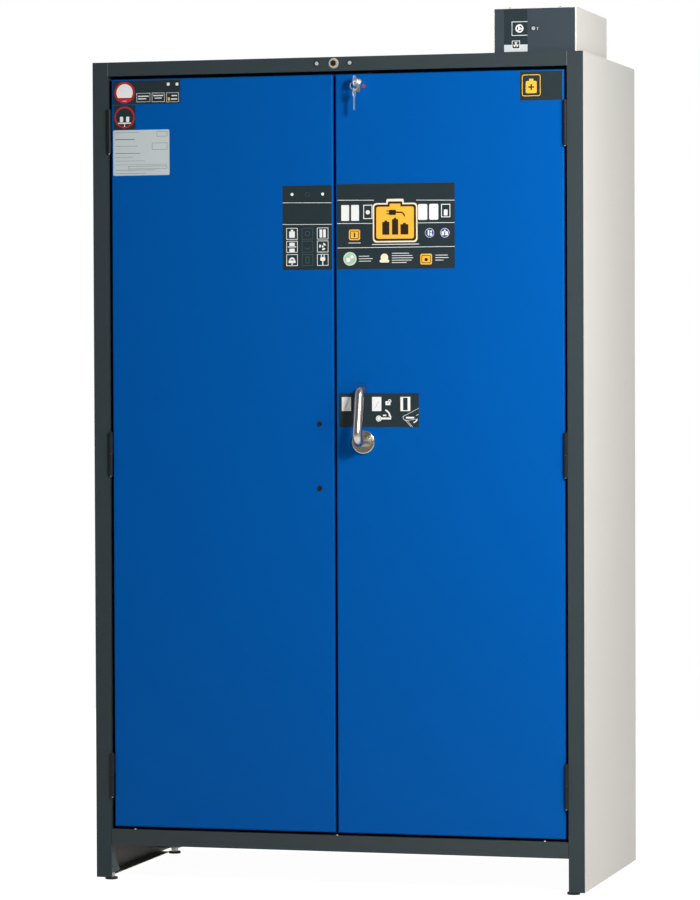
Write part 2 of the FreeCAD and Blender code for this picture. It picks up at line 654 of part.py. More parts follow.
# Bent stainless tube: out of the rose, up, and back towards the door, on a square spindle.
def lever():
    rose = new_body("rose")
    disc = sketch_on(rose, "XZ_Plane", "0 - door_front")
    circle(disc, ("lever_side", "lever_level"), "rose_radius")
    circle(disc, ("lever_side", "lever_level"), "tube_radius + running_fit")
    plate = pad(rose, disc, "rose_depth")
    doc.recompute()
    front = plate.Shape.BoundBox.YMin
    rims = [f"Edge{number}" for number, edge in enumerate(plate.Shape.Edges, 1)
            if edge.BoundBox.YLength < 0.01 and abs(edge.BoundBox.YMin - front) < 0.01
            and edge.BoundBox.XLength > driving["rose_radius"]]
    rounding = rose.newObject("PartDesign::Fillet", "rose_round")
    rounding.Base = (plate, rims)
    bind(rounding, Radius="rose_round")
    keep("lever_rose", rose)

    handle = new_body("handle")
    path = sketch_on(handle, "YZ_Plane", "lever_side")
    proud = driving["lever_reach"] + driving["tube_radius"]
    near = (proud + driving["door_recess"] - driving["depth"]) / 2
    bend = driving["lever_bend"]
    lean = driving["lever_lean"]
    level = driving["lever_level"]
    top = level + driving["lever_height"] - driving["tube_radius"]
    low_y = near - driving["lever_reach"] + bend
    high_y = low_y + lean
    tilt = math.atan2(lean, top - level - 2 * bend)

    def spot(y, z):
        return FreeCAD.Vector(y, z, 0)

    def tangent_spot(y, z):
        return spot(y - bend * math.cos(tilt), z + bend * math.sin(tilt))

    def bow(y, z, start, end):
        return Part.ArcOfCircle(Part.Circle(spot(y, z), FreeCAD.Vector(0, 0, 1), bend), start, end)

    path.addGeometry(Part.LineSegment(spot(near, level), spot(low_y, level)))
    path.addGeometry(bow(low_y, level + bend, math.pi - tilt, 3 * math.pi / 2))
    path.addGeometry(Part.LineSegment(tangent_spot(low_y, level + bend), tangent_spot(high_y, top - bend)))
    path.addGeometry(bow(high_y, top - bend, math.pi / 2, math.pi - tilt))
    path.addGeometry(Part.LineSegment(spot(high_y, top), spot(near - driving["lever_end_gap"], top)))
    for first, first_end, second, second_end in ((0, 2, 1, 2), (1, 1, 2, 1), (2, 2, 3, 2), (3, 1, 4, 1)):
        path.addConstraint(Sketcher.Constraint("Tangent", first, first_end, second, second_end))
    for number in (0, 4):
        path.addConstraint(Sketcher.Constraint("Horizontal", number))
    for number in (1, 3):
        limit = path.addConstraint(Sketcher.Constraint("Radius", number, bend))
        path.setExpression(f"Constraints[{limit}]", formula("lever_bend"))
    hold(path, "DistanceX", 0, 1, near, "door_front")
    hold(path, "DistanceY", 0, 1, level, "lever_level")
    hold(path, "DistanceX", 1, 3, low_y, "lever_front + lever_bend")
    hold(path, "DistanceX", 3, 3, high_y, "lever_front + lever_bend + lever_lean")
    hold(path, "DistanceX", 4, 2, near - driving["lever_end_gap"], "door_front - lever_end_gap")
    hold(path, "DistanceY", 4, 2, top, "lever_top")
    mouth = sketch_on(handle, "XZ_Plane", "0 - door_front")
    circle(mouth, ("lever_side", "lever_level"), "tube_radius")
    pipe = handle.newObject("PartDesign::AdditivePipe", "handle_tube")
    pipe.Profile = mouth
    pipe.Spine = path
    square = sketch_on(handle, "XZ_Plane", "0 - case_back + case_wall")
    rectangle(square, ("lever_side - spindle_side / 2", "lever_level - spindle_side / 2"),
              ("lever_side + spindle_side / 2", "lever_level + spindle_side / 2"))
    pad(handle, square, "case_back - case_wall - door_front")
    hub = sketch_on(handle, "XZ_Plane", "0 - case_back + case_wall")
    circle(hub, ("lever_side", "lever_level"), "hub_radius")
    pad(handle, hub, "hub_length")
    keep("lever_handle", handle)


def lock_and_keys():
    length = "lock_proud + lock_length"
    middle = "lock_toe + lock_slot / 2"
    barrel = bar("lock_barrel", ("lock_side", "lock_front", "lock_level"), "y", "lock_radius", length)
    tail = block("lock_tail", ("lock_left", "lock_front", middle), ("lock_right", "lock_back", "lock_level"))
    toe = bar("lock_toe_round", ("lock_side", "lock_front", middle), "y", "lock_slot / 2", length)
    plug_room = bar("plug_room", ("lock_side", "lock_front", "lock_level"), "y",
                    "plug_radius + running_fit", "plug_length")
    keep("lock_cylinder", cut("lock", fuse("lock_solid", barrel, tail, toe), plug_room))

    plug = bar("key_plug", ("lock_side", "lock_front", "lock_level"), "y", "plug_radius",
               "plug_length - running_fit")
    shank = block("key_shank_bar",
                  ("key_left", "lock_front - key_shank - key_root", "lock_level - key_width / 2"),
                  ("key_right", "lock_front + key_root", "lock_level + key_width / 2"))
    bow = bar("key_bow", ("key_left", "bow_front + bow_radius", "lock_level"), "x", "bow_radius",
              "key_thick")
    eye = bar("key_eye", ("key_left", "ring_front", "lock_level"), "x", "bow_hole", "key_thick")
    keep("lock_key", cut("key", fuse("key_solid", plug, shank, bow), eye))

    ring_start = ("lock_side", "ring_front - ring_flat / 2", "ring_level")
    ring = bar("ring_rim", ring_start, "y", "ring_radius + ring_wire", "ring_flat")
    ring_bore = bar("ring_bore", ring_start, "y", "ring_radius - ring_wire", "ring_flat")
    keep("key_ring", cut("ring", ring, ring_bore))

    bow = bar("spare_round", ("key_left", "ring_front", "spare_centre"), "x", "spare_bow", "key_thick")
    blade = block("spare_blade", ("key_left", "ring_front - key_width / 2", "spare_centre - spare_drop"),
                  ("key_right", "ring_front + key_width / 2", "spare_centre"))
    eye = bar("spare_hole", ("key_left", "ring_front", "spare_eye"), "x", "bow_hole", "key_thick")
    keep("spare_key", cut("spare", fuse("spare_solid", bow, blade), eye))


def header_controls():
    bezel = doc.addObject("Part::Cone", "switch_bezel")
    bezel.Placement = FreeCAD.Placement(FreeCAD.Vector(), turns["y"])
    bind(bezel, Radius1="switch_radius - switch_bevel", Radius2="switch_radius", Height="switch_proud")
    move(bezel, "0", "front - switch_proud", "switch_level")
    barrel = bar("switch_barrel", ("0", "front", "switch_level"), "y", "switch_barrel", "switch_length")
    bore = bar("switch_bore", ("0", "front - switch_proud", "switch_level"), "y",
               "switch_core + running_fit", "switch_length")
    keep("key_switch_body", cut("switch", fuse("switch_solid", bezel, barrel), bore))
    core = bar("switch_plug", ("0", "front - switch_proud", "switch_level"), "y", "switch_core",
               "switch_length - running_fit")
    keyway = block("switch_keyway",
                   ("0 - keyway_width / 2", "front - switch_proud", "switch_level - keyway_height / 2"),
                   ("keyway_width / 2", "front", "switch_level + keyway_height / 2"))
    keep("key_switch_core", cut("switch_core_cut", core, keyway))

    lamps = []
    for number, side in enumerate(("0 - lamp_pitch", "lamp_pitch")):
        pieces = []
        for word, start, radius, length in (
                ("ring", "front - lamp_proud", "lamp_radius", "lamp_proud"),
                ("stem", "front", "lamp_stem", "lamp_length"),
                ("lens", "front - lamp_proud - lens_proud", "lamp_lens", "lens_proud")):
            pieces.append(bar(f"lamp_{word}_{number}", (side, start, "switch_level"), "y", radius, length))
        lamps.append(fuse(f"lamp_{number}", *pieces))
    keep("indicator_lamps", group("lamps", *lamps))


# Lift-off hinges in the gap at each jamb: the lower knuckle and its leaf stay on the frame, the
# upper ones ride on the door, and a pin joins them.
def hinges():
    frame_halves = []
    door_halves = []
    pins = []
    for number, step in enumerate((-1, 0, 1)):
        middle = f"door_middle + {step} * hinge_pitch"
        base = f"{middle} - hinge_length / 2"
        axis = ("hinge_side", "hinge_front")
        knuckle = bar(f"frame_knuckle_{number}", (*axis, base), "z", "hinge_radius", "hinge_length / 2")
        leaf = block(f"frame_leaf_{number}", ("jamb_inner - hinge_leaf", "hinge_front", base),
                     ("jamb_inner", "hinge_front + hinge_leaf_depth", middle))
        bore = bar(f"frame_bore_{number}", (*axis, base), "z", "hinge_pin", "hinge_length / 2")
        half = fuse(f"frame_half_solid_{number}", knuckle, leaf)
        frame_halves.append(cut(f"frame_half_{number}", half, bore))
        start = f"{middle} + hinge_split"
        length = "hinge_length / 2 - hinge_split"
        knuckle = bar(f"door_knuckle_{number}", (*axis, start), "z", "hinge_radius", length)
        leaf = block(f"door_leaf_{number}", ("door_outer", "hinge_front", start),
                     ("door_outer + hinge_leaf", "hinge_front + hinge_leaf_depth", f"{start} + {length}"))
        bore = bar(f"door_bore_{number}", (*axis, start), "z", "hinge_pin + hinge_slack", length)
        half = fuse(f"door_half_solid_{number}", knuckle, leaf)
        door_halves.append(cut(f"door_half_{number}", half, bore))
        pins.append(bar(f"hinge_pin_{number}", (*axis, f"{base} - hinge_pin_proud"), "z", "hinge_pin",
                        "hinge_length + hinge_pin_proud - hinge_pin_short"))
    for name, solids in (("frame_hinges", frame_halves), ("door_hinges", door_halves), ("hinge_pins", pins)):
        right = keep(name + "_right", group(name, *solids))
        keep(name + "_left", mirrored(name + "_other", right))


def feet():
    for end, place in (("front", "front + foot_front"), ("rear", "rear_foot")):
        for side, sign in (("left", "0 -"), ("right", "0 +")):
            name = f"foot_{end}_{side}"
            zero = ("0", "0", "0")
            rim = bar(name + "_rim", zero, "z", "foot_radius", "foot_pad")
            nut = hexagon(name + "_nut", ("0", "0", "foot_pad"), "z", "nut_radius", "nut_height")
            stud = bar(name + "_stud", zero, "z", "stud_radius", "stud_length")
            solid = fuse(name + "_solid", rim, nut, stud)
            keep("levelling_" + name, move(solid, f"{sign} foot_side", place, "0"))

    gusset = new_body("gusset")
    web = sketch_on(gusset, "YZ_Plane", "jamb_inner")
    outline(web, [
        ("front + sheet", "bracket_level"),
        ("front + sheet + gusset_reach", "bracket_level"),
        ("front + sheet + gusset_top", "plinth_height"),
        ("front + sheet", "plinth_height"),
    ])
    pad(gusset, web, "sheet")
    sole = sketch_on(gusset, "XY_Plane", "bracket_level")
    rectangle(sole, ("jamb_inner", "front + sheet"), ("side_inner - sheet", "front + sheet + gusset_reach"))
    pad(gusset, sole, "bracket_plate")
    stud_hole = sketch_on(gusset, "XY_Plane", "bracket_level + bracket_plate")
    circle(stud_hole, ("foot_side", "front + foot_front"), "stud_hole")
    pocket(gusset, stud_hole, "2 * bracket_plate")
    slots = sketch_on(gusset, "YZ_Plane", "jamb_inner + sheet")
    near = "front + sheet + gusset_slot_inset"
    for level in ("gusset_slot_low", "gusset_slot_high"):
        rectangle(slots, (near, level), (f"{near} + gusset_slot_width", f"{level} + gusset_slot_height"))
    pocket(gusset, slots, "2 * sheet")
    keep("foot_gusset_right", gusset)
    keep("foot_gusset_left", mirrored("gusset_left", gusset))

    low = "rear_foot - bracket_length / 2"
    high = "rear_foot + bracket_length / 2"
    web = block("rear_web", ("side_inner - bracket_plate", low, "bracket_level"),
                ("side_inner", high, "bracket_level + bracket_web"))
    sole = block("rear_sole", ("jamb_inner - bracket_reach", low, "bracket_level"),
                 ("side_inner", high, "bracket_level + bracket_plate"))
    hole = bar("rear_hole", ("foot_side", "rear_foot", "bracket_level"), "z", "stud_hole", "bracket_plate")
    bracket = cut("rear_bracket", fuse("rear_bracket_solid", web, sole), hole)
    keep("rear_foot_brackets", group("rear_brackets", bracket, mirrored("rear_bracket_left", bracket)))


# A circular pattern around the body's own upright axis.
def ring_pattern(body, feature, count):
    item = body.newObject("PartDesign::PolarPattern", body.Name + "_ring")
    item.Originals = [feature]
    item.Axis = (origin_part(body, "Z_Axis"), [""])
    item.Angle = 360
    bind(item, Occurrences=count)
    body.Tip = item


def exhaust_fan():
    walls = block("fan_box", ("fan_left", "fan_near", "height"), ("fan_right", "fan_far", "fan_top"))
    hollow = block("fan_hollow", ("fan_left + fan_sheet", "fan_near", "height"),
                   ("fan_right - fan_sheet", "fan_inner", "fan_top - fan_sheet"))
    lip = block("fan_front_lip", ("fan_right - fan_lip", "fan_near", "height"),
                ("fan_right", "fan_near + fan_sheet", "fan_top"))
    foot = block("fan_rear_foot", ("fan_left + fan_sheet", "fan_far - fan_foot", "height"),
                 ("fan_right - fan_sheet", "fan_inner", "height + fan_sheet"))
    mouth = bar("fan_mouth", ("fan_centre", "fan_inner", "height + fan_height / 2"), "y",
                "duct_radius", "fan_sheet")
    gland_hole = bar("fan_gland_hole", ("gland_side", "fan_inner", "gland_height"), "y",
                     "gland_thread", "fan_sheet")
    shell = fuse("fan_shell", cut("fan_walls", walls, hollow), lip, foot)
    keep("fan_housing", cut("fan_housing_cut", shell, mouth, gland_hole))

    cover_right = "fan_right - fan_lip"
    cover = block("cover_face", ("fan_left + fan_sheet", "fan_near", "height"),
                  (cover_right, "fan_near + fan_sheet", "fan_top - fan_sheet"))
    tray = block("cover_tray", ("fan_left + fan_sheet", "fan_near + fan_sheet", "height"),
                 (cover_right, "fan_near + cover_return", "fan_top - fan_sheet"))
    tray_hollow = block("cover_hollow", ("fan_left + 2 * fan_sheet", "fan_near + fan_sheet", "height"),
                        (f"{cover_right} - fan_sheet", "fan_near + cover_return", "fan_top - 2 * fan_sheet"))
    lamp_hole = bar("cover_lamp_hole", ("fan_lamp_side", "fan_near", "fan_lamp_height"), "y",
                    "fan_lamp_stem", "fan_sheet")
    keep("fan_front_cover", cut("cover", fuse("cover_solid", cover, tray), tray_hollow, lamp_hole))

    ring = bar("fan_lamp_ring", ("fan_lamp_side", "fan_near - fan_lamp_proud", "fan_lamp_height"), "y",
               "fan_lamp_radius", "fan_lamp_proud")
    stem = bar("fan_lamp_body", ("fan_lamp_side", "fan_near", "fan_lamp_height"), "y", "fan_lamp_stem",
               "fan_lamp_length")
    keep("fan_status_lamp", fuse("fan_lamp", ring, stem))

    # collar that leads from the ceiling through the board and the roof to the wheel's eye
    collar_top = "height + collar_proud"
    pipe = bar("collar_pipe", ("fan_centre", "fan_axis", "room_top"), "z", "duct_radius",
               f"{collar_top} - room_top")
    rim = bar("collar_flat", ("fan_centre", "fan_axis", "collar_base"), "z",
              "duct_radius + collar_flange", "collar_rim")
    bore = bar("collar_bore", ("fan_centre", "fan_axis", "collar_base"), "z", "duct_radius - duct_wall",
               f"{collar_top} - collar_base")
    keep("exhaust_collar", cut("collar", fuse("collar_solid", pipe, rim), bore))

    can = bar("motor_can", ("fan_centre", "fan_axis", "motor_base"), "z", "motor_radius", "motor_height")
    shaft_room = bar("motor_bore", ("fan_centre", "fan_axis", "motor_base"), "z",
                     "shaft_radius + running_fit", "motor_height - motor_cap")
    keep("fan_motor", cut("motor", can, shaft_room))

    wheel = new_body("wheel")
    back_plate = sketch_on(wheel, "XY_Plane", "wheel_height - wheel_plate")
    circle(back_plate, ("0", "0"), "wheel_radius")
    pad(wheel, back_plate, "wheel_plate")
    shroud = sketch_on(wheel, "XY_Plane")
    circle(shroud, ("0", "0"), "wheel_radius")
    circle(shroud, ("0", "0"), "wheel_eye")
    foot = sketch_on(wheel, "XY_Plane")
    reach = "(wheel_radius - blade_inset)"
    tip = (f"{reach} * cos(blade_turn)", f"{reach} * sin(blade_turn)")
    outline(foot, [
        ("wheel_eye + blade_inset", "0"),
        tip,
        (f"{tip[0]} - blade_thick", f"{tip[1]} + blade_thick"),
        ("wheel_eye + blade_inset", "blade_root"),
    ])
    ring_pattern(wheel, pad(wheel, foot, "wheel_height - wheel_plate"), "wheel_blades")
    pad(wheel, shroud, "wheel_plate")
    shaft = sketch_on(wheel, "XY_Plane", "wheel_height - wheel_plate")
    circle(shaft, ("0", "0"), "shaft_radius")
    pad(wheel, shaft, "fan_top - fan_sheet - wheel_base - wheel_height + wheel_plate - shaft_gap")
    keep("fan_impeller", move(wheel, "fan_centre", "fan_axis", "wheel_base"))


def fan_fittings():
    level = "height + fan_height / 2"
    pipe = bar("spigot_pipe", ("fan_centre", "fan_inner", level), "y", "duct_radius",
               "fan_sheet + spigot_length")
    rim = bar("spigot_rim", ("fan_centre", "fan_far", level), "y", "duct_radius + spigot_flange",
              "fan_sheet")
    bore = bar("spigot_bore", ("fan_centre", "fan_inner", level), "y", "duct_radius - duct_wall",
               "fan_sheet + spigot_length")
    keep("fan_outlet_spigot", cut("spigot", fuse("spigot_solid", pipe, rim), bore))

    nut = hexagon("gland_nut_solid", ("gland_side", "fan_far", "gland_height"), "y", "gland_hex",
                  "gland_nut")
    dome = bar("gland_dome_solid", ("gland_side", "fan_far + gland_nut", "gland_height"), "y",
               "gland_cap", "gland_dome")
    thread = bar("gland_thread_bar", ("gland_side", "gland_start", "gland_height"), "y",
                 "gland_thread", "fan_far - gland_start")
    hole = bar("gland_hole", ("gland_side", "gland_start", "gland_height"), "y", "gland_bore",
               "fan_far + gland_nut + gland_dome - gland_start")
    keep("mains_gland", cut("gland", fuse("gland_solid", nut, dome, thread), hole))


front_frame()
carcass()
seal()
shelving()
socket_strip()
left_door()
right_door()
lock_work()
lever()
lock_and_keys()
header_controls()
hinges()
feet()
exhaust_fan()
fan_fittings()
doc.recompute()

faults = [item.Name for item in doc.Objects if "Invalid" in item.State or "Error" in item.State]
if faults:
    raise RuntimeError(f"failed objects: {faults}")
for item in nodes:
    if item.Shape.isNull() or not item.Shape.isValid() or not item.Shape.Solids:
        raise RuntimeError(f"bad shape: {item.Label}")
os.makedirs("parts", exist_ok=True)
for item in nodes:
    item.Shape.exportStep(f"parts/{item.Label}.step")
    print(item.Label, len(item.Shape.Solids), round(item.Shape.Volume))
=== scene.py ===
import math

import bmesh
import bpy
from mathutils import Matrix, Vector


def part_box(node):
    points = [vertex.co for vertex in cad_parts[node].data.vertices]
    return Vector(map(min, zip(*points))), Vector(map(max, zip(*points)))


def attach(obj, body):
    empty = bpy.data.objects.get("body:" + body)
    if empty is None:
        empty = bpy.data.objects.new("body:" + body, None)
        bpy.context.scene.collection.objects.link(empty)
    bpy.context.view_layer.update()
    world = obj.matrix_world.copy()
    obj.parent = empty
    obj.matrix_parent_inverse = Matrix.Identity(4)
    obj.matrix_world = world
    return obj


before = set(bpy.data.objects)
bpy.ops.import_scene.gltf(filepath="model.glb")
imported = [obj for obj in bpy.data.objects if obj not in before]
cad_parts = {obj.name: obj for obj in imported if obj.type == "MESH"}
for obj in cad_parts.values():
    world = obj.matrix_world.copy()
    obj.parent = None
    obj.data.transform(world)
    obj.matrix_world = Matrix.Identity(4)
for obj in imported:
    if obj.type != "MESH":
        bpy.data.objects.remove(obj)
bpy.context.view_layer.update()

# Battery cabinet with blue wing doors in a dark steel frame and an exhaust fan on its roof.
# Metres throughout, but places and sizes on the cabinet are given in millimetres.

mm = 0.001
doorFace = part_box("door_skin_left")[0].y
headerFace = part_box("frame_header")[0].y
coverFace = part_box("fan_front_cover")[0].y
print("frame loaded:", len(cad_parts), "nodes")


def rgb(red, green, blue):  # a colour as a picture editor shows it, made linear
    def linear(value):
        value /= 255
        return value / 12.92 if value <= 0.04045 else ((value + 0.055) / 1.055) ** 2.4
    return (linear(red), linear(green), linear(blue), 1.0)


def tint(colour, factor):  # lighter above 1, darker below 1
    return tuple(min(1.0, part * factor) for part in colour[:3]) + (1.0,)


class Signal:  # a socket that can stand in a sum
    def __init__(self, maker, socket):
        self.maker = maker
        self.socket = socket

    def join(self, operation, first, second):
        return self.maker.node("Math", {"operation": operation}, {0: first, 1: second})

    def __add__(self, other):
        return self.join("ADD", self, other)

    def __mul__(self, other):
        return self.join("MULTIPLY", self, other)

    def __gt__(self, other):
        return self.join("GREATER_THAN", self, other)

    def __lt__(self, other):
        return self.join("LESS_THAN", self, other)

    __radd__ = __add__
    __rmul__ = __mul__


class NodeMaker:  # adds nodes to a material's tree or to the world's
    def __init__(self, tree):
        self.tree = tree

    def node(self, kind, settings=None, values=None, output=0):
        made = self.tree.nodes.new("ShaderNode" + kind)
        for name, value in (settings or {}).items():
            setattr(made, name, value)
        for name, value in (values or {}).items():
            if isinstance(value, Signal):
                self.tree.links.new(value.socket, made.inputs[name])
            else:
                made.inputs[name].default_value = value
        return Signal(self, made.outputs[output])


class Finish(NodeMaker):  # one material, built node by node
    def __init__(self, name):
        self.material = bpy.data.materials.new(name)
        self.material.use_nodes = True
        super().__init__(self.material.node_tree)
        self.shader = self.tree.nodes["Principled BSDF"]
        self.place = self.node("TexCoord", output="Object")

    def noise(self, scale, detail=3.0, stretch=(1, 1, 1)):  # scale in cells per metre
        vector = self.node("Mapping", values={"Vector": self.place, "Scale": stretch})
        return self.node("TexNoise", values={"Vector": vector, "Scale": scale, "Detail": detail})

    def axis(self, letter):
        return self.node("SeparateXYZ", values={"Vector": self.place}, output=letter)

    def radius(self, centre, flat):  # distance from a line through centre; flat is zero along the line
        offset = tuple(-part * keep for part, keep in zip(centre, flat))
        vector = self.node("Mapping", values={"Vector": self.place, "Scale": flat, "Location": offset})
        return self.node("VectorMath", {"operation": "LENGTH"}, {0: vector}, output="Value")

    def blend(self, mask, first, second):
        return self.node("Mix", {"data_type": "RGBA"}, {0: mask, 6: first, 7: second}, output=2)

    def bump(self, height, distance):
        return self.node("Bump", values={"Height": height, "Distance": distance})

    def shine(self, **values):  # words such as baseColor become the shader's socket names
        for word, value in values.items():
            name = "".join(" " + letter if letter.isupper() else letter for letter in word).title()
            socket = self.shader.inputs["IOR" if word == "ior" else name]
            if isinstance(value, Signal):
                self.tree.links.new(value.socket, socket)
            else:
                socket.default_value = value
        return self.material


def uneven(middle, *waves):  # wanders round a middle value; each wave is a signal and its swing
    total = middle - sum(swing for signal, swing in waves) / 2
    for signal, swing in waves:
        total = total + signal * swing
    return total


coatTuning = {             # scales in cells per metre
    "peelScale": 620,      # orange peel of sprayed powder
    "speckScale": 2400,    # finer grains on the peel
    "peelDepth": 0.00006,
    "cloudScale": 2.6,     # slow drift of the colour over a panel
    "dustScale": 38,
    "dustSwing": 0.12,     # of the roughness
    "density": 1.22,       # refraction: how strongly the paint mirrors the room
}


def paintWear(paint):  # dust, and the shade that it makes with the slow drift
    cloud = paint.noise(coatTuning["cloudScale"], 2.0)
    dust = paint.noise(coatTuning["dustScale"], 6.0)
    return dust, cloud * 0.7 + dust * 0.3


def powderCoat(name, colour, roughness=0.42, drift=0.05, peel=1.0, coat=0.0,
               density=coatTuning["density"]):
    paint = Finish(name)
    dust, shade = paintWear(paint)
    specks = paint.noise(coatTuning["speckScale"], 1.0)
    peelHeight = paint.noise(coatTuning["peelScale"], 2.0) + specks * 0.3
    return paint.shine(
        baseColor=paint.blend(shade, tint(colour, 1 - drift), tint(colour, 1 + drift)),
        roughness=uneven(roughness, (dust, coatTuning["dustSwing"])),
        ior=density,
        coatWeight=coat,
        coatRoughness=0.25,
        normal=paint.bump(peelHeight, coatTuning["peelDepth"] * peel),
    )


# The side panels are painted outside, darkened inside with painted shade, and pale on the folded lip at
# the bottom.
def sidePanelFinish(name, colour, insideShadeColour, lipColour, insideFace, lipTop):
    panel = Finish(name)
    dust, shade = paintWear(panel)
    painted = panel.blend(shade, tint(colour, 0.98), tint(colour, 1.02))
    inside = panel.node("Math", {"operation": "ABSOLUTE"}, {0: panel.axis("X")}) < insideFace
    lip = inside * (panel.axis("Z") < lipTop)
    paintedInsideShade = panel.blend(dust, tint(insideShadeColour, 0.9), tint(insideShadeColour, 1.1))
    folded = panel.blend(dust, tint(lipColour, 0.97), tint(lipColour, 1.02))
    return panel.shine(
        baseColor=panel.blend(inside, painted, panel.blend(lip, paintedInsideShade, folded)),
        roughness=uneven(0.44, (dust, coatTuning["dustSwing"])),
        ior=coatTuning["density"],
        normal=panel.bump(panel.noise(coatTuning["peelScale"], 2.0), coatTuning["peelDepth"]),
    )


brushScale = 2600  # grain lines per metre


def brushedSteel(name, colour, roughness, stretch=(1, 1, 1), centre=None, flat=None):
    metal = Finish(name)
    if centre is None:
        grain = metal.noise(brushScale, 4.0, stretch)
    else:  # turned on a lathe: the grain runs in rings round the axis
        grain = metal.node("TexNoise", {"noise_dimensions": "1D"},
                           {"W": metal.radius(centre, flat), "Scale": brushScale, "Detail": 3.0})
    smudge = metal.noise(24, 4.0)
    return metal.shine(
        baseColor=metal.blend(grain * 0.6 + smudge * 0.4, tint(colour, 0.82), tint(colour, 1.12)),
        metallic=1.0,
        roughness=uneven(roughness, (smudge, 0.1), (grain, 0.14)),
        normal=metal.bump(grain, 0.000002),
    )


def polishedMetal(name, colour, roughness, metallic=1.0):
    metal = Finish(name)
    scratches = metal.noise(420, 5.0, (1, 1, 9))
    smudge = metal.noise(60, 3.0)
    return metal.shine(
        baseColor=metal.blend(smudge, tint(colour, 0.88), colour),
        metallic=metallic,
        roughness=uneven(roughness, (smudge, 0.12), (scratches, 0.06)),
        normal=metal.bump(scratches, 0.00001),
    )


def zincPlate(name, colour, roughness=0.38):  # plated or galvanised sheet with a faint spangle
    metal = Finish(name)
    cells = metal.node("TexVoronoi", values={"Vector": metal.place, "Scale": 90.0}, output="Color")
    spangle = metal.node("SeparateColor", values={"Color": cells})
    smudge = metal.noise(30, 4.0)
    return metal.shine(
        baseColor=metal.blend(spangle * 0.5 + smudge * 0.5, tint(colour, 0.85), tint(colour, 1.1)),
        metallic=1.0,
        roughness=uneven(roughness, (spangle, 0.12), (smudge, 0.1)),
        normal=metal.bump(metal.noise(700, 3.0), 0.00002),
    )


# The dark front edge is painted shade where the board shows in the gap above the doors.
def laminatedBoard(name, colour, gapShadeColour=None, edgeFront=0.0):  # may have a dark front edge
    board = Finish(name)
    fleck = board.noise(340, 5.0)
    cloud = board.noise(5, 3.0)
    facing = board.blend(fleck * 0.6 + cloud * 0.4, tint(colour, 0.93), tint(colour, 1.04))
    if gapShadeColour:
        facing = board.blend(board.axis("Y") < edgeFront, facing, gapShadeColour)
    return board.shine(
        baseColor=facing,
        roughness=uneven(0.575, (fleck, 0.15)),
        normal=board.bump(fleck, 0.00008),
    )


def mouldedPlastic(name, colour, roughness, texture=1100):
    plastic = Finish(name)
    grain = plastic.noise(texture, 3.0)
    cloud = plastic.noise(40, 3.0)
    return plastic.shine(
        baseColor=plastic.blend(cloud, tint(colour, 0.85), tint(colour, 1.15)),
        roughness=uneven(roughness, (grain, 0.16)),
        normal=plastic.bump(grain, 0.00006),
    )


def sealStrip(name, colour):  # pressed graphite in a soft sleeve
    strip = Finish(name)
    crumbs = strip.node("TexVoronoi", values={"Vector": strip.place, "Scale": 650.0})
    haze = strip.noise(55, 4.0)
    return strip.shine(
        baseColor=strip.blend(haze, tint(colour, 0.7), tint(colour, 1.4)),
        roughness=uneven(0.7, (haze, 0.2)),
        normal=strip.bump(crumbs, 0.0002),
    )


def vinyl(name, colour, roughness=0.45):  # printed film
    film = Finish(name)
    dots = film.noise(1500, 2.0)
    haze = film.noise(18, 3.0)
    return film.shine(
        baseColor=film.blend(dots * 0.4 + haze * 0.6, tint(colour, 0.93), tint(colour, 1.07)),
        roughness=uneven(roughness, (haze, 0.14)),
        ior=1.3,
        normal=film.bump(dots, 0.00001),
    )


footLook = {  # heights above the floor, and the thread
    "padTop": 5.05,
    "threadFrom": 16,
    "threadPitch": 1.5,
    "threadDepth": 0.45,
    "rubber": (rgb(22, 22, 22), rgb(36, 36, 36)),
    "plating": (rgb(150, 150, 146), rgb(205, 204, 198)),
}


def footFinish(name):  # rubber pad below, plated nut and threaded stud above
    foot = Finish(name)
    height = foot.axis("Z")
    metal = height > footLook["padTop"] * mm
    haze = foot.noise(80, 4.0)
    winding = math.tau / (footLook["threadPitch"] * mm)
    thread = foot.node("Math", {"operation": "SINE"}, {0: height * winding})
    rubber = foot.blend(haze, *footLook["rubber"])
    plated = foot.blend(haze, *footLook["plating"])
    return foot.shine(
        baseColor=foot.blend(metal, rubber, plated),
        metallic=metal,
        roughness=metal * -0.3 + uneven(0.68, (haze, 0.12)),
        normal=foot.bump(thread * (height > footLook["threadFrom"] * mm), footLook["threadDepth"] * mm),
    )


def lampFinish(name, middles, lensRadius, ring, lens):  # pale lens in a dark ring, looking along Y
    lamp = Finish(name)
    inside = None
    for side, level in middles:
        disc = lamp.radius((side * mm, 0, level * mm), (1, 0, 1)) < lensRadius * mm
        inside = disc if inside is None else inside + disc
    haze = lamp.noise(500, 3.0)
    facets = lamp.node("TexVoronoi", values={"Vector": lamp.place, "Scale": 900.0})
    return lamp.shine(
        baseColor=lamp.blend(inside, ring, lamp.blend(haze, tint(lens, 0.9), lens)),
        roughness=uneven(0.27, (haze, 0.1)),
        coatWeight=inside * 0.6,
        normal=lamp.bump(facets * inside, 0.00008),
    )


colours = {
    "doorBlue": rgb(0, 83, 161),
    "frameGrey": rgb(53, 62, 65),
    # painted light: the rail grey is a touch lighter than the frame grey, standing in for light bounced
    # up from the floor
    "railGrey": rgb(60, 67, 69),
    "bodyGrey": rgb(214, 211, 204),
    "coverGrey": rgb(56, 65, 72),
    "board": rgb(226, 225, 219),
    "labelDark": rgb(36, 48, 52),
    "labelWhite": rgb(232, 233, 230),
    "labelGrey": rgb(194, 202, 204),
    "labelFaint": rgb(66, 84, 88),
    "labelAmber": rgb(243, 182, 62),
    "labelCream": rgb(240, 226, 196),
    "labelInk": rgb(46, 34, 22),
    "labelBlue": rgb(36, 60, 140),
    "labelGreen": rgb(168, 196, 170),
    "labelRed": rgb(176, 42, 50),
}

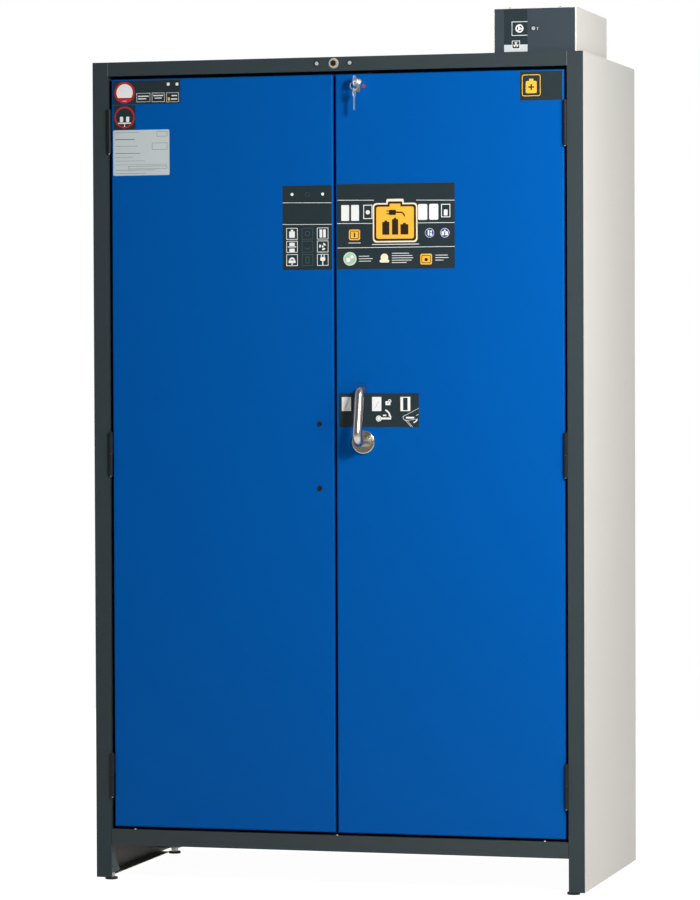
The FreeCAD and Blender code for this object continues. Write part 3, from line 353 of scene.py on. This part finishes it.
blueCoat = powderCoat("doorBluePowder", colours["doorBlue"], 0.4, 0.03, 0.7, coat=0.04, density=1.12)
frameCoat = powderCoat("frameGreyPowder", colours["frameGrey"], 0.46, 0.06, 1.2)
# The rail has the frame's paint; its lighter grey is painted light from the floor bounce.
railPaintedLightCoat = powderCoat("paintedBounceRailPowder", colours["railGrey"], 0.46, 0.06, 1.2)
bodyCoat = powderCoat("bodyGreyPowder", colours["bodyGrey"], 0.45, 0.02, 0.8)
coverCoat = powderCoat("coverGreyPowder", colours["coverGrey"], 0.44, 0.05, 1.0)
hingeCoat = powderCoat("hingeBlackPowder", rgb(34, 36, 38), 0.4, 0.1, 1.0)
shelfCoat = powderCoat("shelfGreyPowder", rgb(205, 206, 203), 0.42, 0.03, 0.8)

roseMiddle = tuple(sum(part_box("lever_rose"), Vector()) / 2)
leverSteel = brushedSteel("leverBrushedSteel", rgb(208, 199, 187), 0.29, stretch=(1, 1, 0.03))
roseSteel = brushedSteel("roseTurnedSteel", rgb(228, 222, 206), 0.24, centre=roseMiddle, flat=(1, 0, 1))
keyNickel = polishedMetal("keyNickel", rgb(240, 238, 232), 0.32, 0.8)
lockNickel = polishedMetal("lockSatinNickel", rgb(222, 212, 192), 0.34)
bezelChrome = polishedMetal("bezelSatinChrome", rgb(250, 244, 232), 0.2, 0.65)
coreBrass = polishedMetal("coreDarkBrass", rgb(120, 92, 52), 0.32)
glandBrass = polishedMetal("glandNickelBrass", rgb(196, 184, 150), 0.26)
innerZinc = zincPlate("innerZinc", rgb(190, 192, 192))
ductZinc = zincPlate("ductGalvanised", rgb(186, 190, 192), 0.34)
rodSteel = zincPlate("rodDarkSteel", rgb(52, 53, 55), 0.45)
# the near-black front edge of the top board is painted shade for the door gap
boardWhite = laminatedBoard("boardWhite", colours["board"], gapShadeColour=rgb(30, 31, 32),
                            edgeFront=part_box("wall_board_top")[0].y + 0.5 * mm)
doorBoardWhite = laminatedBoard("doorBoardWhite", colours["board"])
# The dark inside colour of the side panels is painted shade for the shadow under and inside the
# cabinet.
sideCoat = sidePanelFinish(
    "sideGreyPowder", colours["bodyGrey"], insideShadeColour=rgb(88, 85, 78), lipColour=rgb(222, 216, 198),
    insideFace=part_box("rear_panel")[1].x + 0.4 * mm, lipTop=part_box("side_panel_left")[0].z + 2 * mm)
stripPlastic = mouldedPlastic("socketBlackPlastic", rgb(34, 35, 36), 0.42)
plugPlastic = mouldedPlastic("plugBlackPlastic", rgb(18, 18, 20), 0.4)
wheelPlastic = mouldedPlastic("wheelBlackPlastic", rgb(30, 31, 33), 0.45, 700)
sealGraphite = sealStrip("sealGraphite", rgb(38, 37, 38))
footPad = footFinish("footRubberAndZinc")
headerLamp = lampFinish("headerLamp", [(-40, 1938), (40, 1938)], 4.6,
                        ring=rgb(34, 38, 40), lens=rgb(176, 182, 184))
fanLamp = lampFinish("fanLamp", [(478, 2008)], 4.4, ring=rgb(40, 46, 50), lens=rgb(168, 174, 178))
print("finishes mixed:", len(bpy.data.materials))

cadFinishes = {  # every CAD node gets one finish
    blueCoat: ["door_skin_left", "door_skin_right"],
    frameCoat: ["frame_jamb_left", "frame_jamb_right", "frame_header", "foot_gusset_left",
                "foot_gusset_right", "base_panel"],
    railPaintedLightCoat: ["frame_bottom_rail"],
    sideCoat: ["side_panel_left", "side_panel_right"],
    bodyCoat: ["rear_panel", "roof_panel", "fan_housing"],
    coverCoat: ["fan_front_cover"],
    hingeCoat: ["frame_hinges_left", "frame_hinges_right", "door_hinges_left", "door_hinges_right"],
    shelfCoat: ["shelf_1", "shelf_2", "shelf_3", "sump_tray", "shelf_uprights_left",
                "shelf_uprights_right"],
    leverSteel: ["lever_handle"],
    roseSteel: ["lever_rose"],
    keyNickel: ["lock_key", "key_ring", "spare_key"],
    lockNickel: ["lock_cylinder"],
    bezelChrome: ["key_switch_body"],
    coreBrass: ["key_switch_core"],
    glandBrass: ["mains_gland"],
    innerZinc: ["hinge_pins_left", "hinge_pins_right", "lock_case", "rear_foot_brackets", "fan_motor"],
    rodSteel: ["bolt_rod_upper", "bolt_rod_lower"],
    ductZinc: ["exhaust_collar", "fan_outlet_spigot"],
    boardWhite: ["wall_board_left", "wall_board_right", "wall_board_rear", "wall_board_top",
                 "wall_board_base"],
    doorBoardWhite: ["door_board_left", "door_board_right"],
    stripPlastic: ["socket_strip"],
    plugPlastic: ["door_plugs"],
    wheelPlastic: ["fan_impeller"],
    sealGraphite: ["frame_seal"],
    footPad: ["levelling_foot_front_left", "levelling_foot_front_right", "levelling_foot_rear_left",
              "levelling_foot_rear_right"],
    headerLamp: ["indicator_lamps"],
    fanLamp: ["fan_status_lamp"],
}
dressed = set()
for finish, names in cadFinishes.items():
    for name in names:
        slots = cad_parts[name].data.materials
        slots.clear()
        slots.append(finish)
        dressed.add(name)
print("CAD nodes without a finish:", sorted(set(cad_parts) - dressed))


weldReach = 1e-7
turnedSmooth = 40  # degrees; the edges of turned pieces stay crisp above it


def placeMesh(shape, name, finish):
    mesh = bpy.data.meshes.new(name)
    shape.to_mesh(mesh)
    shape.free()
    mesh.materials.append(finish)
    placed = bpy.data.objects.new(name, mesh)
    bpy.context.scene.collection.objects.link(placed)
    return placed


def finishPiece(shape, name, body, finish, smoothAngle=None):
    bmesh.ops.remove_doubles(shape, verts=shape.verts, dist=weldReach)
    bmesh.ops.recalc_face_normals(shape, faces=shape.faces)
    for face in shape.faces:
        face.smooth = smoothAngle is not None
    piece = placeMesh(shape, name, finish)
    if smoothAngle is not None:
        piece.data.set_sharp_from_angle(angle=math.radians(smoothAngle))
    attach(piece, body)


# Printed films. A sign is drawn flat in XY, stood up to look at -Y, and thickened towards the viewer.
filmDepth = 0.25
inkDepth = 0.1
inkStep = 0.003    # keeps crossing marks of one ink out of one plane
cornerSteps = 4
arcStep = 12       # degrees
upright = Matrix.Rotation(math.radians(90), 4, "X")


def standUp(side, level, depth, turn=0.0):
    spot = Matrix.Translation((side * mm, depth, level * mm))
    return spot @ upright @ Matrix.Rotation(math.radians(turn), 4, "Z")


def openFaces(shape):  # the flat faces that haven't been thickened yet
    return [face for face in shape.faces if any(edge.is_boundary for edge in face.edges)]


def thicken(shape, lift):
    made = bmesh.ops.extrude_face_region(shape, geom=openFaces(shape), use_keep_orig=True)["geom"]
    lifted = [item for item in made if isinstance(item, bmesh.types.BMVert)]
    bmesh.ops.translate(shape, vec=(0, -lift * mm, 0), verts=lifted)


def roundOrHollow(shape, verts, corner, line):
    if corner:
        bmesh.ops.bevel(shape, geom=verts, offset=corner * mm, affect="VERTICES",
                        segments=cornerSteps, profile=0.5, material=-1)
    if line:
        face = openFaces(shape)
        bmesh.ops.inset_region(shape, faces=face, thickness=line * mm, use_even_offset=True,
                               use_boundary=True)
        bmesh.ops.delete(shape, geom=face, context="FACES_ONLY")


def tile(shape, depth, lift, side, level, width, height, corner=0, line=0, turn=0):
    size = Matrix.Diagonal((width * mm, height * mm, 1, 1))
    verts = bmesh.ops.create_grid(shape, x_segments=1, y_segments=1, size=0.5,
                                  matrix=standUp(side, level, depth, turn) @ size)["verts"]
    roundOrHollow(shape, verts, corner, line)
    thicken(shape, lift)


def disc(shape, depth, lift, side, level, radius, line=0, sides=32):
    verts = bmesh.ops.create_circle(shape, cap_ends=True, segments=sides, radius=radius * mm,
                                    matrix=standUp(side, level, depth))["verts"]
    roundOrHollow(shape, verts, 0, line)
    thicken(shape, lift)


def stroke(shape, depth, lift, points, width):  # straight strokes from point to point
    for step, ((side, level), (nextSide, nextLevel)) in enumerate(zip(points, points[1:])):
        run = (nextSide - side, nextLevel - level)
        tile(shape, depth, lift + step * inkStep / 4, side + run[0] / 2, level + run[1] / 2,
             math.hypot(*run) + width, width, turn=math.degrees(math.atan2(run[1], run[0])))


def arc(shape, depth, lift, side, level, radius, width, start, sweep):
    place = standUp(side, level, depth, start)
    ends = [shape.verts.new(place @ Vector((reach * mm, 0, 0)))
            for reach in (radius - width / 2, radius + width / 2)]
    edge = shape.edges.new(ends)
    bmesh.ops.spin(shape, geom=[*ends, edge], cent=(side * mm, depth, level * mm), axis=(0, -1, 0),
                   angle=math.radians(sweep), steps=max(4, abs(sweep) // arcStep))
    thicken(shape, lift)


drawing = {"tile": tile, "disc": disc, "stroke": stroke, "arc": arc}
inks = {word: vinyl("print" + word[5:], colour) for word, colour in colours.items()
        if word.startswith("label")}


def signLayer(name, body, colour, marks, depth, lift):
    shape = bmesh.new()
    for order, (kind, *sizes) in enumerate(marks):
        drawing[kind](shape, depth, lift + order * inkStep, *sizes)
    finishPiece(shape, name, body, inks["label" + colour])


def label(name, body, face, films, prints):  # films lie on a front face and the prints on the films
    for number, (colour, marks) in enumerate(films, 1):
        signLayer(f"{name}Film{number}", body, colour, marks, face, filmDepth)
    for number, (colour, marks) in enumerate(prints, 1):
        signLayer(f"{name}Print{number}", body, colour, marks, face - filmDepth * mm, number * inkDepth)


def framed(side, level, width, height, line):  # the outline of a box
    return ("tile", side, level, width, height, 0, line)


def rule(side, level, length, width=1.4):  # a plain level rule
    return ("stroke", [(side, level), (side + length, level)], width)


topStrip = {
    "films": [("Dark", [("tile", -462.6, 1880.4, 169.2, 56.6, 1)])],
    "prints": [
        ("White", [("disc", -516.9, 1880.4, 25.6), ("tile", -407.8, 1898.5, 7, 7, 2),
                   ("tile", -386.1, 1898.2, 7, 7, 2), framed(-470.0, 1868.0, 33.8, 21, 0.8),
                   framed(-432.9, 1867.7, 31.4, 21.7, 0.8), framed(-397.1, 1867.2, 30.8, 22.4, 0.8),
                   rule(-482, 1871, 24, 2.4), rule(-482, 1865, 18, 2.4),
                   rule(-444, 1872, 22, 2.6), rule(-441, 1866, 16, 2),
                   rule(-398, 1871, 11, 2.6), rule(-400, 1863, 13, 2.6)]),
        ("Red", [("disc", -516.9, 1880.4, 25.6, 5), ("tile", -516.9, 1864.6, 33, 7)]),
        ("Amber", [("tile", -406.5, 1863.4, 5, 7)]),
    ],
}
label("topStrip", "left_door", doorFace, **topStrip)

shelfSign = {
    "films": [("Dark", [("tile", -517.4, 1821.6, 55.2, 58, 1)])],
    "prints": [
        ("Red", [("disc", -517.4, 1821.8, 25.8, 4)]),
        ("White", [rule(-532, 1808, 29, 3), ("stroke", [(-517.4, 1806), (-517.4, 1800)], 2),
                   ("tile", -525, 1817, 8, 13, 2), ("tile", -509.6, 1817, 8, 13, 2)]),
    ],
}
label("shelfSign", "left_door", doorFace, **shelfSign)

plateRules = ((1785.5, 60, 0.7), (1769, 48, 1.6), (1753, 56, 0.7), (1736, 62, 1.1), (1727, 44, 0.6),
              (1718, 74, 0.6), (1709, 130, 0.5), (1696, 100, 0.7), (1688, 76, 0.7))
ratingPlate = {
    "films": [("Grey", [("tile", -476, 1737.3, 140.6, 108, 3)])],
    "prints": [
        ("Faint", [rule(-541, level, length, width) for level, length, width in plateRules]
         + [framed(-424, 1781, 26, 12, 0.7), framed(-430, 1752, 38, 16, 0.7),
            framed(-460, 1702, 96, 7, 0.7)]),
    ],
}
label("ratingPlate", "left_door", doorFace, **ratingPlate)

cellColumns = (-103.6, -65.9, -28.6)
cellRows = (1539.8, 1509.3, 1477.9)


def cellFrames(columns):
    return [framed(side, level, 27.6, 27.4, 1.3) for side in columns for level in cellRows]


equipmentSigns = {
    "films": [("Dark", [("tile", -66.4, 1553.8, 120.2, 198.4, 1)])],
    "prints": [
        ("White", cellFrames((cellColumns[0], cellColumns[2])) + [
            ("disc", -103, 1632.5, 3.6), ("disc", -28.3, 1632.3, 3.6),
            ("stroke", [(-126, 1613), (-6.6, 1611.6)], 1.1),
            ("stroke", [(-126, 1562), (-6.6, 1561)], 1.1),
            ("tile", -103.6, 1538, 14, 15, 1), ("tile", -103.6, 1547.6, 6, 4),      # battery
            rule(-113, 1509, 19, 2), ("tile", -103.6, 1515, 13, 8, 1),              # shelf
            ("tile", -103.6, 1501, 13, 8, 1),
            ("arc", -103.6, 1477.4, 5, 4, 0, 180), ("tile", -103.6, 1474, 17, 6, 1),  # bell
            ("disc", -103.6, 1468.6, 2),
            ("tile", -33, 1539.8, 6.5, 19), ("tile", -24.2, 1539.8, 6.5, 19),       # two doors
            ("disc", -28.6, 1509.3, 2.4), ("arc", -28.6, 1509.3, 6.6, 4, 20, 60),   # fan
            ("arc", -28.6, 1509.3, 6.6, 4, 140, 60), ("arc", -28.6, 1509.3, 6.6, 4, 260, 60),
            ("tile", -28.6, 1480, 12, 9, 2), ("stroke", [(-28.6, 1476), (-28.6, 1467)], 2.4),  # plug
            ("stroke", [(-32, 1486), (-32, 1489)], 2), ("stroke", [(-25.2, 1486), (-25.2, 1489)], 2)]),
        ("Faint", cellFrames(cellColumns[1:2]) + [
            ("disc", -65.6, 1632, 5, 0.8), ("disc", -65.9, 1539.8, 6, 1.4),
            ("arc", -65.9, 1509.3, 6, 2, 200, 140), ("tile", -65.9, 1477.9, 9, 16, 0, 1.6)]),
    ],
}
label("equipmentSigns", "left_door", doorFace, **equipmentSigns)


def smallBattery(side, level, width, height):  # a block with a terminal on it
    return [("tile", side, level, width, height, 1.2),
            ("tile", side, level + height / 2 + 1.6, width * 0.36, 3.4)]


noteRules = [(60, 1485.4, 24), (60, 1479.6, 32), (60, 1473.8, 28),
             (140, 1491.4, 40), (140, 1486, 48), (140, 1480.6, 50), (140, 1475.2, 46),
             (140, 1469.8, 34),
             (245, 1486, 28), (245, 1480.2, 30), (245, 1474.4, 18)]
batterySigns = {
    "films": [("Dark", [("tile", 148.7, 1554.8, 284.2, 199.6, 1)])],
    "prints": [
        ("White", [
            ("stroke", [(7.4, 1617.2), (96, 1616)], 1.2),
            ("stroke", [(199, 1614.8), (290, 1613.4)], 1.2),
            ("stroke", [(7.4, 1562.6), (92, 1561.8)], 1.2),
            ("stroke", [(203, 1561.7), (290, 1561.4)], 1.2),
            ("stroke", [(7.4, 1505.2), (290, 1505.8)], 1.2),
            ("tile", 26.5, 1587, 19, 37, 1.5), ("tile", 50.5, 1587, 19, 37, 1.5),   # wing doors
            framed(81.5, 1589, 22, 33, 1.8), framed(269.3, 1589.5, 22, 31, 1.8),
            ("tile", 214, 1587, 22, 37, 3), ("tile", 240.5, 1587, 22, 37, 3),
            ("disc", 81.5, 1588, 5), ("tile", 269.3, 1585, 9, 14, 2),
            ("disc", 230.5, 1538.2, 10.9), ("disc", 267, 1537.8, 10.9),
            rule(92, 1512.5, 112, 1.6), rule(35, 1516.6, 28, 1.3)]
         + [rule(side, level, length) for side, level, length in noteRules]),
        ("Cream", [("tile", 147.4, 1563, 108, 92, 9), ("tile", 147.4, 1611, 42, 15, 4),
                   ("disc", 121.3, 1482, 9), ("tile", 121.3, 1473.5, 23, 7, 3)]),
        ("Ink", [("tile", 147.4, 1563, 101, 85, 7), ("tile", 147.4, 1606, 35, 13, 3)]),
        ("Amber", [("tile", 147.4, 1563, 91, 75, 5), ("tile", 147.4, 1603, 26, 9, 2),
                   ("tile", 49, 1535.6, 27, 25, 4), ("tile", 222, 1477, 28, 25, 4)]),
        ("Ink", smallBattery(125, 1550, 17, 30) + smallBattery(147.4, 1553, 15, 36)
         + smallBattery(170, 1547, 19, 24) + [
            ("tile", 141, 1587, 17, 12, 2), rule(150, 1587, 10, 3.4),               # plug and lead
            ("arc", 160, 1577, 10, 3.4, 0, 90), rule(128, 1590.4, 3, 2.4),
            rule(128, 1583.6, 3, 2.4),
            ("tile", 49, 1535.6, 21, 19, 2.5, 1.6), ("tile", 49, 1535.6, 3.4, 11),
            ("tile", 222, 1477, 22, 19, 2.5, 1.6), ("disc", 222, 1476, 4)]),
        ("Blue", [("disc", 230.5, 1538.2, 9.9), ("disc", 267, 1537.8, 9.9)]),
        ("Green", [("disc", 37.8, 1479.5, 16.2)]),
        ("White", [("disc", 37.8, 1479.5, 14.6, 1), ("tile", 34, 1477, 9, 9, 1),
                   ("disc", 42.6, 1484, 4),
                   ("tile", 228, 1538.2, 4, 13, 1), ("disc", 234.4, 1541.4, 2.4),
                   ("tile", 234.4, 1534.4, 5, 7, 1), ("tile", 262.6, 1536.6, 6, 9, 1),
                   ("tile", 271.4, 1536.6, 6, 9, 1), ("disc", 267, 1543, 2.2)]),
    ],
}
label("batterySigns", "right_door", doorFace, **batterySigns)

leverSigns = {
    "films": [("Dark", [("tile", 106.2, 1124.6, 194, 79.6, 1)])],
    "prints": [
        ("White", [
            ("tile", 27.7, 1139, 22.5, 32.9), ("tile", 101.3, 1139.1, 22.5, 33.1),
            ("tile", 170.6, 1139.1, 23.8, 33.2, 0, 2), ("tile", 162.2, 1139.1, 6, 32.4),
            ("tile", 179, 1139.1, 6, 32.4),
            ("tile", 128.6, 1141, 12, 9.4, 1),                                      # open padlock
            ("arc", 132.4, 1145.6, 3.6, 1.8, -30, 190),
            ("disc", 106.2, 1105.1, 6.9), ("tile", 123, 1105.2, 26, 4.6, 1),        # lever and its way
            ("arc", 116, 1108.4, 17.6, 3.4, 8, 62), ("tile", 133.4, 1110.6, 7, 3, 0, 0, -35),
            ("tile", 120.4, 1112.4, 8, 3.4),
            ("stroke", [(164, 1109.5), (203, 1129)], 0.8),                          # closing door
            ("stroke", [(166, 1104), (171, 1100), (199, 1104)], 0.8),
            ("arc", 171, 1107, 5.6, 0.9, 90, 200), ("stroke", [(171, 1101), (184, 1085.6)], 0.8),
            ("stroke", [(175, 1101), (188, 1085.6)], 0.8), ("tile", 182, 1107, 20, 4, 1),
            ("stroke", [(196, 1112), (202, 1114.6)], 0.8), ("arc", 188, 1107, 11.6, 2.6, -80, 62)]),
        ("Faint", [("disc", 106.2, 1105.1, 4.6, 0.7), ("stroke", [(24, 1129), (33, 1146)], 0.5),
                   ("stroke", [(97, 1129), (106, 1146)], 0.5), ("tile", 128.6, 1141.4, 1.6, 4.6)]),
    ],
}
label("leverSigns", "right_door", doorFace, **leverSigns)

cornerSign = {
    "films": [("Dark", [("tile", 497.2, 1874.7, 100, 67.2, 1)])],
    "prints": [
        ("Amber", [("tile", 474, 1876, 44, 50, 5, 1.6), ("tile", 474, 1872, 26, 28, 3),
                   ("tile", 474, 1888.6, 10, 5)]),
        ("Dark", [("tile", 474, 1872, 14, 3.4), ("tile", 474, 1872, 3.4, 14)]),
    ],
}
label("cornerSign", "right_door", doorFace, **cornerSign)
label("lockDot", "right_door", doorFace, [("Red", [("disc", 72.5, 1883.3, 4)])], [])

fanSigns = {
    "films": [("Dark", [("tile", 435.9, 2012.4, 55.4, 82, 0.6)]),
              ("Grey", [("tile", 435.9, 1963.2, 55.4, 16.2, 0.6)])],
    "prints": [
        ("White", [("stroke", [(463, 2024), (427, 2024), (427, 1992.6), (463, 1992.6)], 1.2),
                   ("disc", 444.7, 2008.5, 9.6), ("tile", 436.3, 1971, 19, 19, 1)]),
        ("Dark", [("arc", 444.7, 2008.5, 5, 3.2, start, 80) for start in (10, 130, 250)]
         + [("tile", 436.3, 1971, 16.4, 16.4, 1)]),
        ("White", [("disc", 444.7, 2008.5, 1.6), ("disc", 436.3, 1971, 1.8)]
         + [("arc", 436.3, 1971, 4.4, 3, start, 70) for start in (55, 175, 295)]),
    ],
}
label("fanSigns", "cabinet", coverFace, **fanSigns)
label("lampTicks", "cabinet", headerFace,
      [("Faint", [("tile", -30.6, 1937.8, 0.9, 5), ("tile", 49.4, 1937.6, 0.9, 5)])], [])
label("fanLampTick", "cabinet", coverFace,
      [("Grey", [("tile", 487.6, 2006.6, 1.2, 5), ("tile", 487.6, 2009.6, 3.2, 1.2)])], [])
print("labels laid")

# Lines where the header and the bottom rail butt against the jambs: a painted highlight on the upper
# joints and painted shade on the lower ones.
seams = {"width": 1.1, "top": rgb(104, 110, 111), "bottom": rgb(24, 28, 30)}
for name, node, colour in (("seamHighlightsTop", "frame_header", seams["top"]),
                           ("seamShadowsBottom", "frame_bottom_rail", seams["bottom"])):
    low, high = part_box(node)
    shape = bmesh.new()
    for side in (low.x, high.x):
        tile(shape, low.y, inkDepth, side / mm, (low.z + high.z) / 2 / mm,
             seams["width"], (high.z - low.z) / mm)
    finishPiece(shape, name, "cabinet", powderCoat(name + "Paint", colour))


# Small hardware. It is turned from a half profile, a list of radius and height.

def turned(shape, profile, spot, lean=None, steps=24):
    place = Matrix.Translation(Vector(spot) * mm) @ (lean or Matrix())
    points = [shape.verts.new(place @ Vector((reach * mm, 0, height * mm)))
              for reach, height in profile]
    edges = [shape.edges.new(pair) for pair in zip(points, points[1:])]
    bmesh.ops.spin(shape, geom=points + edges, cent=Vector(spot) * mm,
                   axis=place.to_3x3() @ Vector((0, 0, 1)), angle=math.tau, steps=steps, use_merge=True)


domeProfile = [(0, 2.2), (0.9, 2.1), (1.6, 1.7), (2.2, 1.0), (2.4, 0.3), (2.4, 0), (0, 0)]
railPins = {"sides": (-500, 0.3, 501), "depth": headerFace / mm + 5, "level": 122.5}
shape = bmesh.new()
for side in railPins["sides"]:
    turned(shape, domeProfile, (side, railPins["depth"], railPins["level"]))
finishPiece(shape, "railPins", "cabinet", mouldedPlastic("railPinNylon", rgb(222, 222, 216), 0.35),
            turnedSmooth)

screwProfile = [(0, 0.7), (1.1, 0.7), (1.5, 1.5), (2.6, 1.4), (3.7, 0.9), (4.2, 0), (0, 0)]
coverScrews = {"sides": (421, 540), "depth": coverFace / mm + 5.5, "level": 2056}
shape = bmesh.new()
for side in coverScrews["sides"]:
    turned(shape, screwProfile, (side, coverScrews["depth"], coverScrews["level"]))
finishPiece(shape, "coverScrews", "cabinet", hingeCoat, turnedSmooth)

contactProfile = [(0, 0.1), (2.5, 0.1), (2.9, 0.4), (3.3, 0.3), (3.4, 0), (0, 0)]
sockets = {
    "count": 8,
    "first": 517.5,
    "pitch": 155,
    "floor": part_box("socket_strip")[0].y / mm + 12,
    "pinSpread": 9.5,
    "clipSpread": 19.6,
    "clipSize": (5, 1.4),
    "clipReach": 9,
    "clipGap": 0.05,       # before the socket's floor
}
contacts = bmesh.new()
clips = bmesh.new()
for number in range(sockets["count"]):
    level = sockets["first"] + number * sockets["pitch"]
    for side in (-1, 1):
        turned(contacts, contactProfile, (side * sockets["pinSpread"], sockets["floor"], level),
               upright, 20)
        tile(clips, (sockets["floor"] - sockets["clipGap"]) * mm, sockets["clipReach"],
             0, level + side * sockets["clipSpread"], *sockets["clipSize"])
finishPiece(contacts, "socketContacts", "cabinet",
            mouldedPlastic("contactBlack", rgb(8, 8, 8), 0.3), turnedSmooth)
finishPiece(clips, "socketClips", "cabinet", coreBrass, turnedSmooth)
print("hardware fitted")


# Camera of the photograph, found by fitting it to the carcass corners.
camera = {
    "place": (2.425617, -9.001567, 1.247221),
    "yaw": 0.267157,
    "pitch": -0.023874,
    "roll": -0.003811,
    "lens": 154.241,
    "sensor": 36.0,
    "clip": (0.1, 60.0),
}
forward = Vector((-math.sin(camera["yaw"]) * math.cos(camera["pitch"]),
                  math.cos(camera["yaw"]) * math.cos(camera["pitch"]), math.sin(camera["pitch"])))
across = Vector((math.cos(camera["yaw"]), math.sin(camera["yaw"]), 0))
above = across.cross(forward)
turn = Matrix.Rotation(camera["roll"], 4, "Z")
stand = Matrix((across, above, -forward)).transposed().to_4x4()
lensData = bpy.data.cameras.new("photoCamera")
lensData.lens = camera["lens"]
lensData.sensor_width = camera["sensor"]
lensData.sensor_fit = "AUTO"
lensData.clip_start, lensData.clip_end = camera["clip"]
photoCamera = bpy.data.objects.new("photoCamera", lensData)
photoCamera.matrix_world = Matrix.Translation(camera["place"]) @ stand @ turn
bpy.context.scene.collection.objects.link(photoCamera)
bpy.context.scene.camera = photoCamera

lamps = {
    "keyLamp": {
        "place": (1.95, -2.5, 2.45), "target": (0.1, -0.3, 1.15), "size": (0.4, 0.5), "power": 88},
    "stripLamp": {
        "place": (1.5, -1.25, 1.3), "target": (0.4, -0.2, 1.1), "size": (0.7, 1.9), "power": 13,
        "mirrored": False},
    "cardLamp": {
        "place": (-3.2, -1.2, 1.3), "target": (0, -0.3, 1.2), "size": (0.5, 2.0), "power": 4},
    "backLamp": {
        "place": (-2.6, 4.2, 3.0), "target": (0, 0.3, 1.0), "size": (2.5, 2.5), "power": 150},
}
for name, lamp in lamps.items():
    light = bpy.data.lights.new(name, "AREA")
    light.shape = "RECTANGLE"
    light.size, light.size_y = lamp["size"]
    light.energy = lamp["power"]
    holder = bpy.data.objects.new(name, light)
    holder.visible_glossy = lamp.get("mirrored", True)
    aim = (Vector(lamp["target"]) - Vector(lamp["place"])).to_track_quat("-Z", "Y")
    holder.matrix_world = Matrix.Translation(lamp["place"]) @ aim.to_matrix().to_4x4()
    bpy.context.scene.collection.objects.link(holder)

room = {
    "ambient": 0.15,         # the dim room that lights the object from all round
    "fade": (-0.3, 0.1),     # from the dim front of the room to its white back, along Y
    "floorHalf": 4.0,
    "floorColour": rgb(236, 236, 234),
    "backdropShare": 0.78,   # of the floor, where the camera, glass and metal see it
    "backdropGlow": 1.25,
}
plainWhite = (1, 1, 1, 1)
world = bpy.data.worlds.new("studio")
bpy.context.scene.world = world
world.use_nodes = True
sky = NodeMaker(world.node_tree)
sky.tree.nodes.clear()

# White where the camera, glass and metal see the backdrop behind the cabinet; dim in front of it.
heading = sky.node("SeparateXYZ", values={0: sky.node("TexCoord", output="Generated")}, output="Y")
behind = sky.node("MapRange", values={"Value": heading, "From Min": room["fade"][0],
                                      "From Max": room["fade"][1]})
shiny = sky.node("LightPath", output="Is Glossy Ray") * behind
straight = sky.node("Math", {"operation": "MAXIMUM"}, {
    0: sky.node("LightPath", output="Is Camera Ray"),
    1: sky.node("LightPath", output="Is Transmission Ray")})
seen = sky.node("Math", {"operation": "MAXIMUM"}, {0: shiny, 1: straight})
strength = sky.node("MapRange", values={"Value": seen, "To Min": room["ambient"], "To Max": 1.0})
glow = sky.node("Background", values={"Color": plainWhite, "Strength": strength})
shown = sky.tree.nodes.new("ShaderNodeOutputWorld")
sky.tree.links.new(glow.socket, shown.inputs["Surface"])

floorFinish = Finish("paleFloor")
watched = (floorFinish.node("LightPath", output="Is Camera Ray")
           + floorFinish.node("LightPath", output="Is Glossy Ray")
           + floorFinish.node("LightPath", output="Is Transmission Ray"))
haze = floorFinish.noise(1.4, 2.0)
floorFinish.shine(
    baseColor=floorFinish.blend(haze, room["floorColour"], tint(room["floorColour"], 1.02)),
    roughness=0.7,
)
white = floorFinish.node("Emission", values={"Color": plainWhite, "Strength": room["backdropGlow"]})
lit = Signal(floorFinish, floorFinish.shader.outputs["BSDF"])
mixed = floorFinish.node("MixShader", values={0: watched * room["backdropShare"], 1: lit, 2: white})
floorFinish.tree.links.new(mixed.socket, floorFinish.tree.nodes["Material Output"].inputs["Surface"])
shape = bmesh.new()
bmesh.ops.create_grid(shape, x_segments=1, y_segments=1, size=room["floorHalf"])
placeMesh(shape, "floor", floorFinish.material)
bpy.context.scene.view_settings.view_transform = "Standard"
print("studio lit")
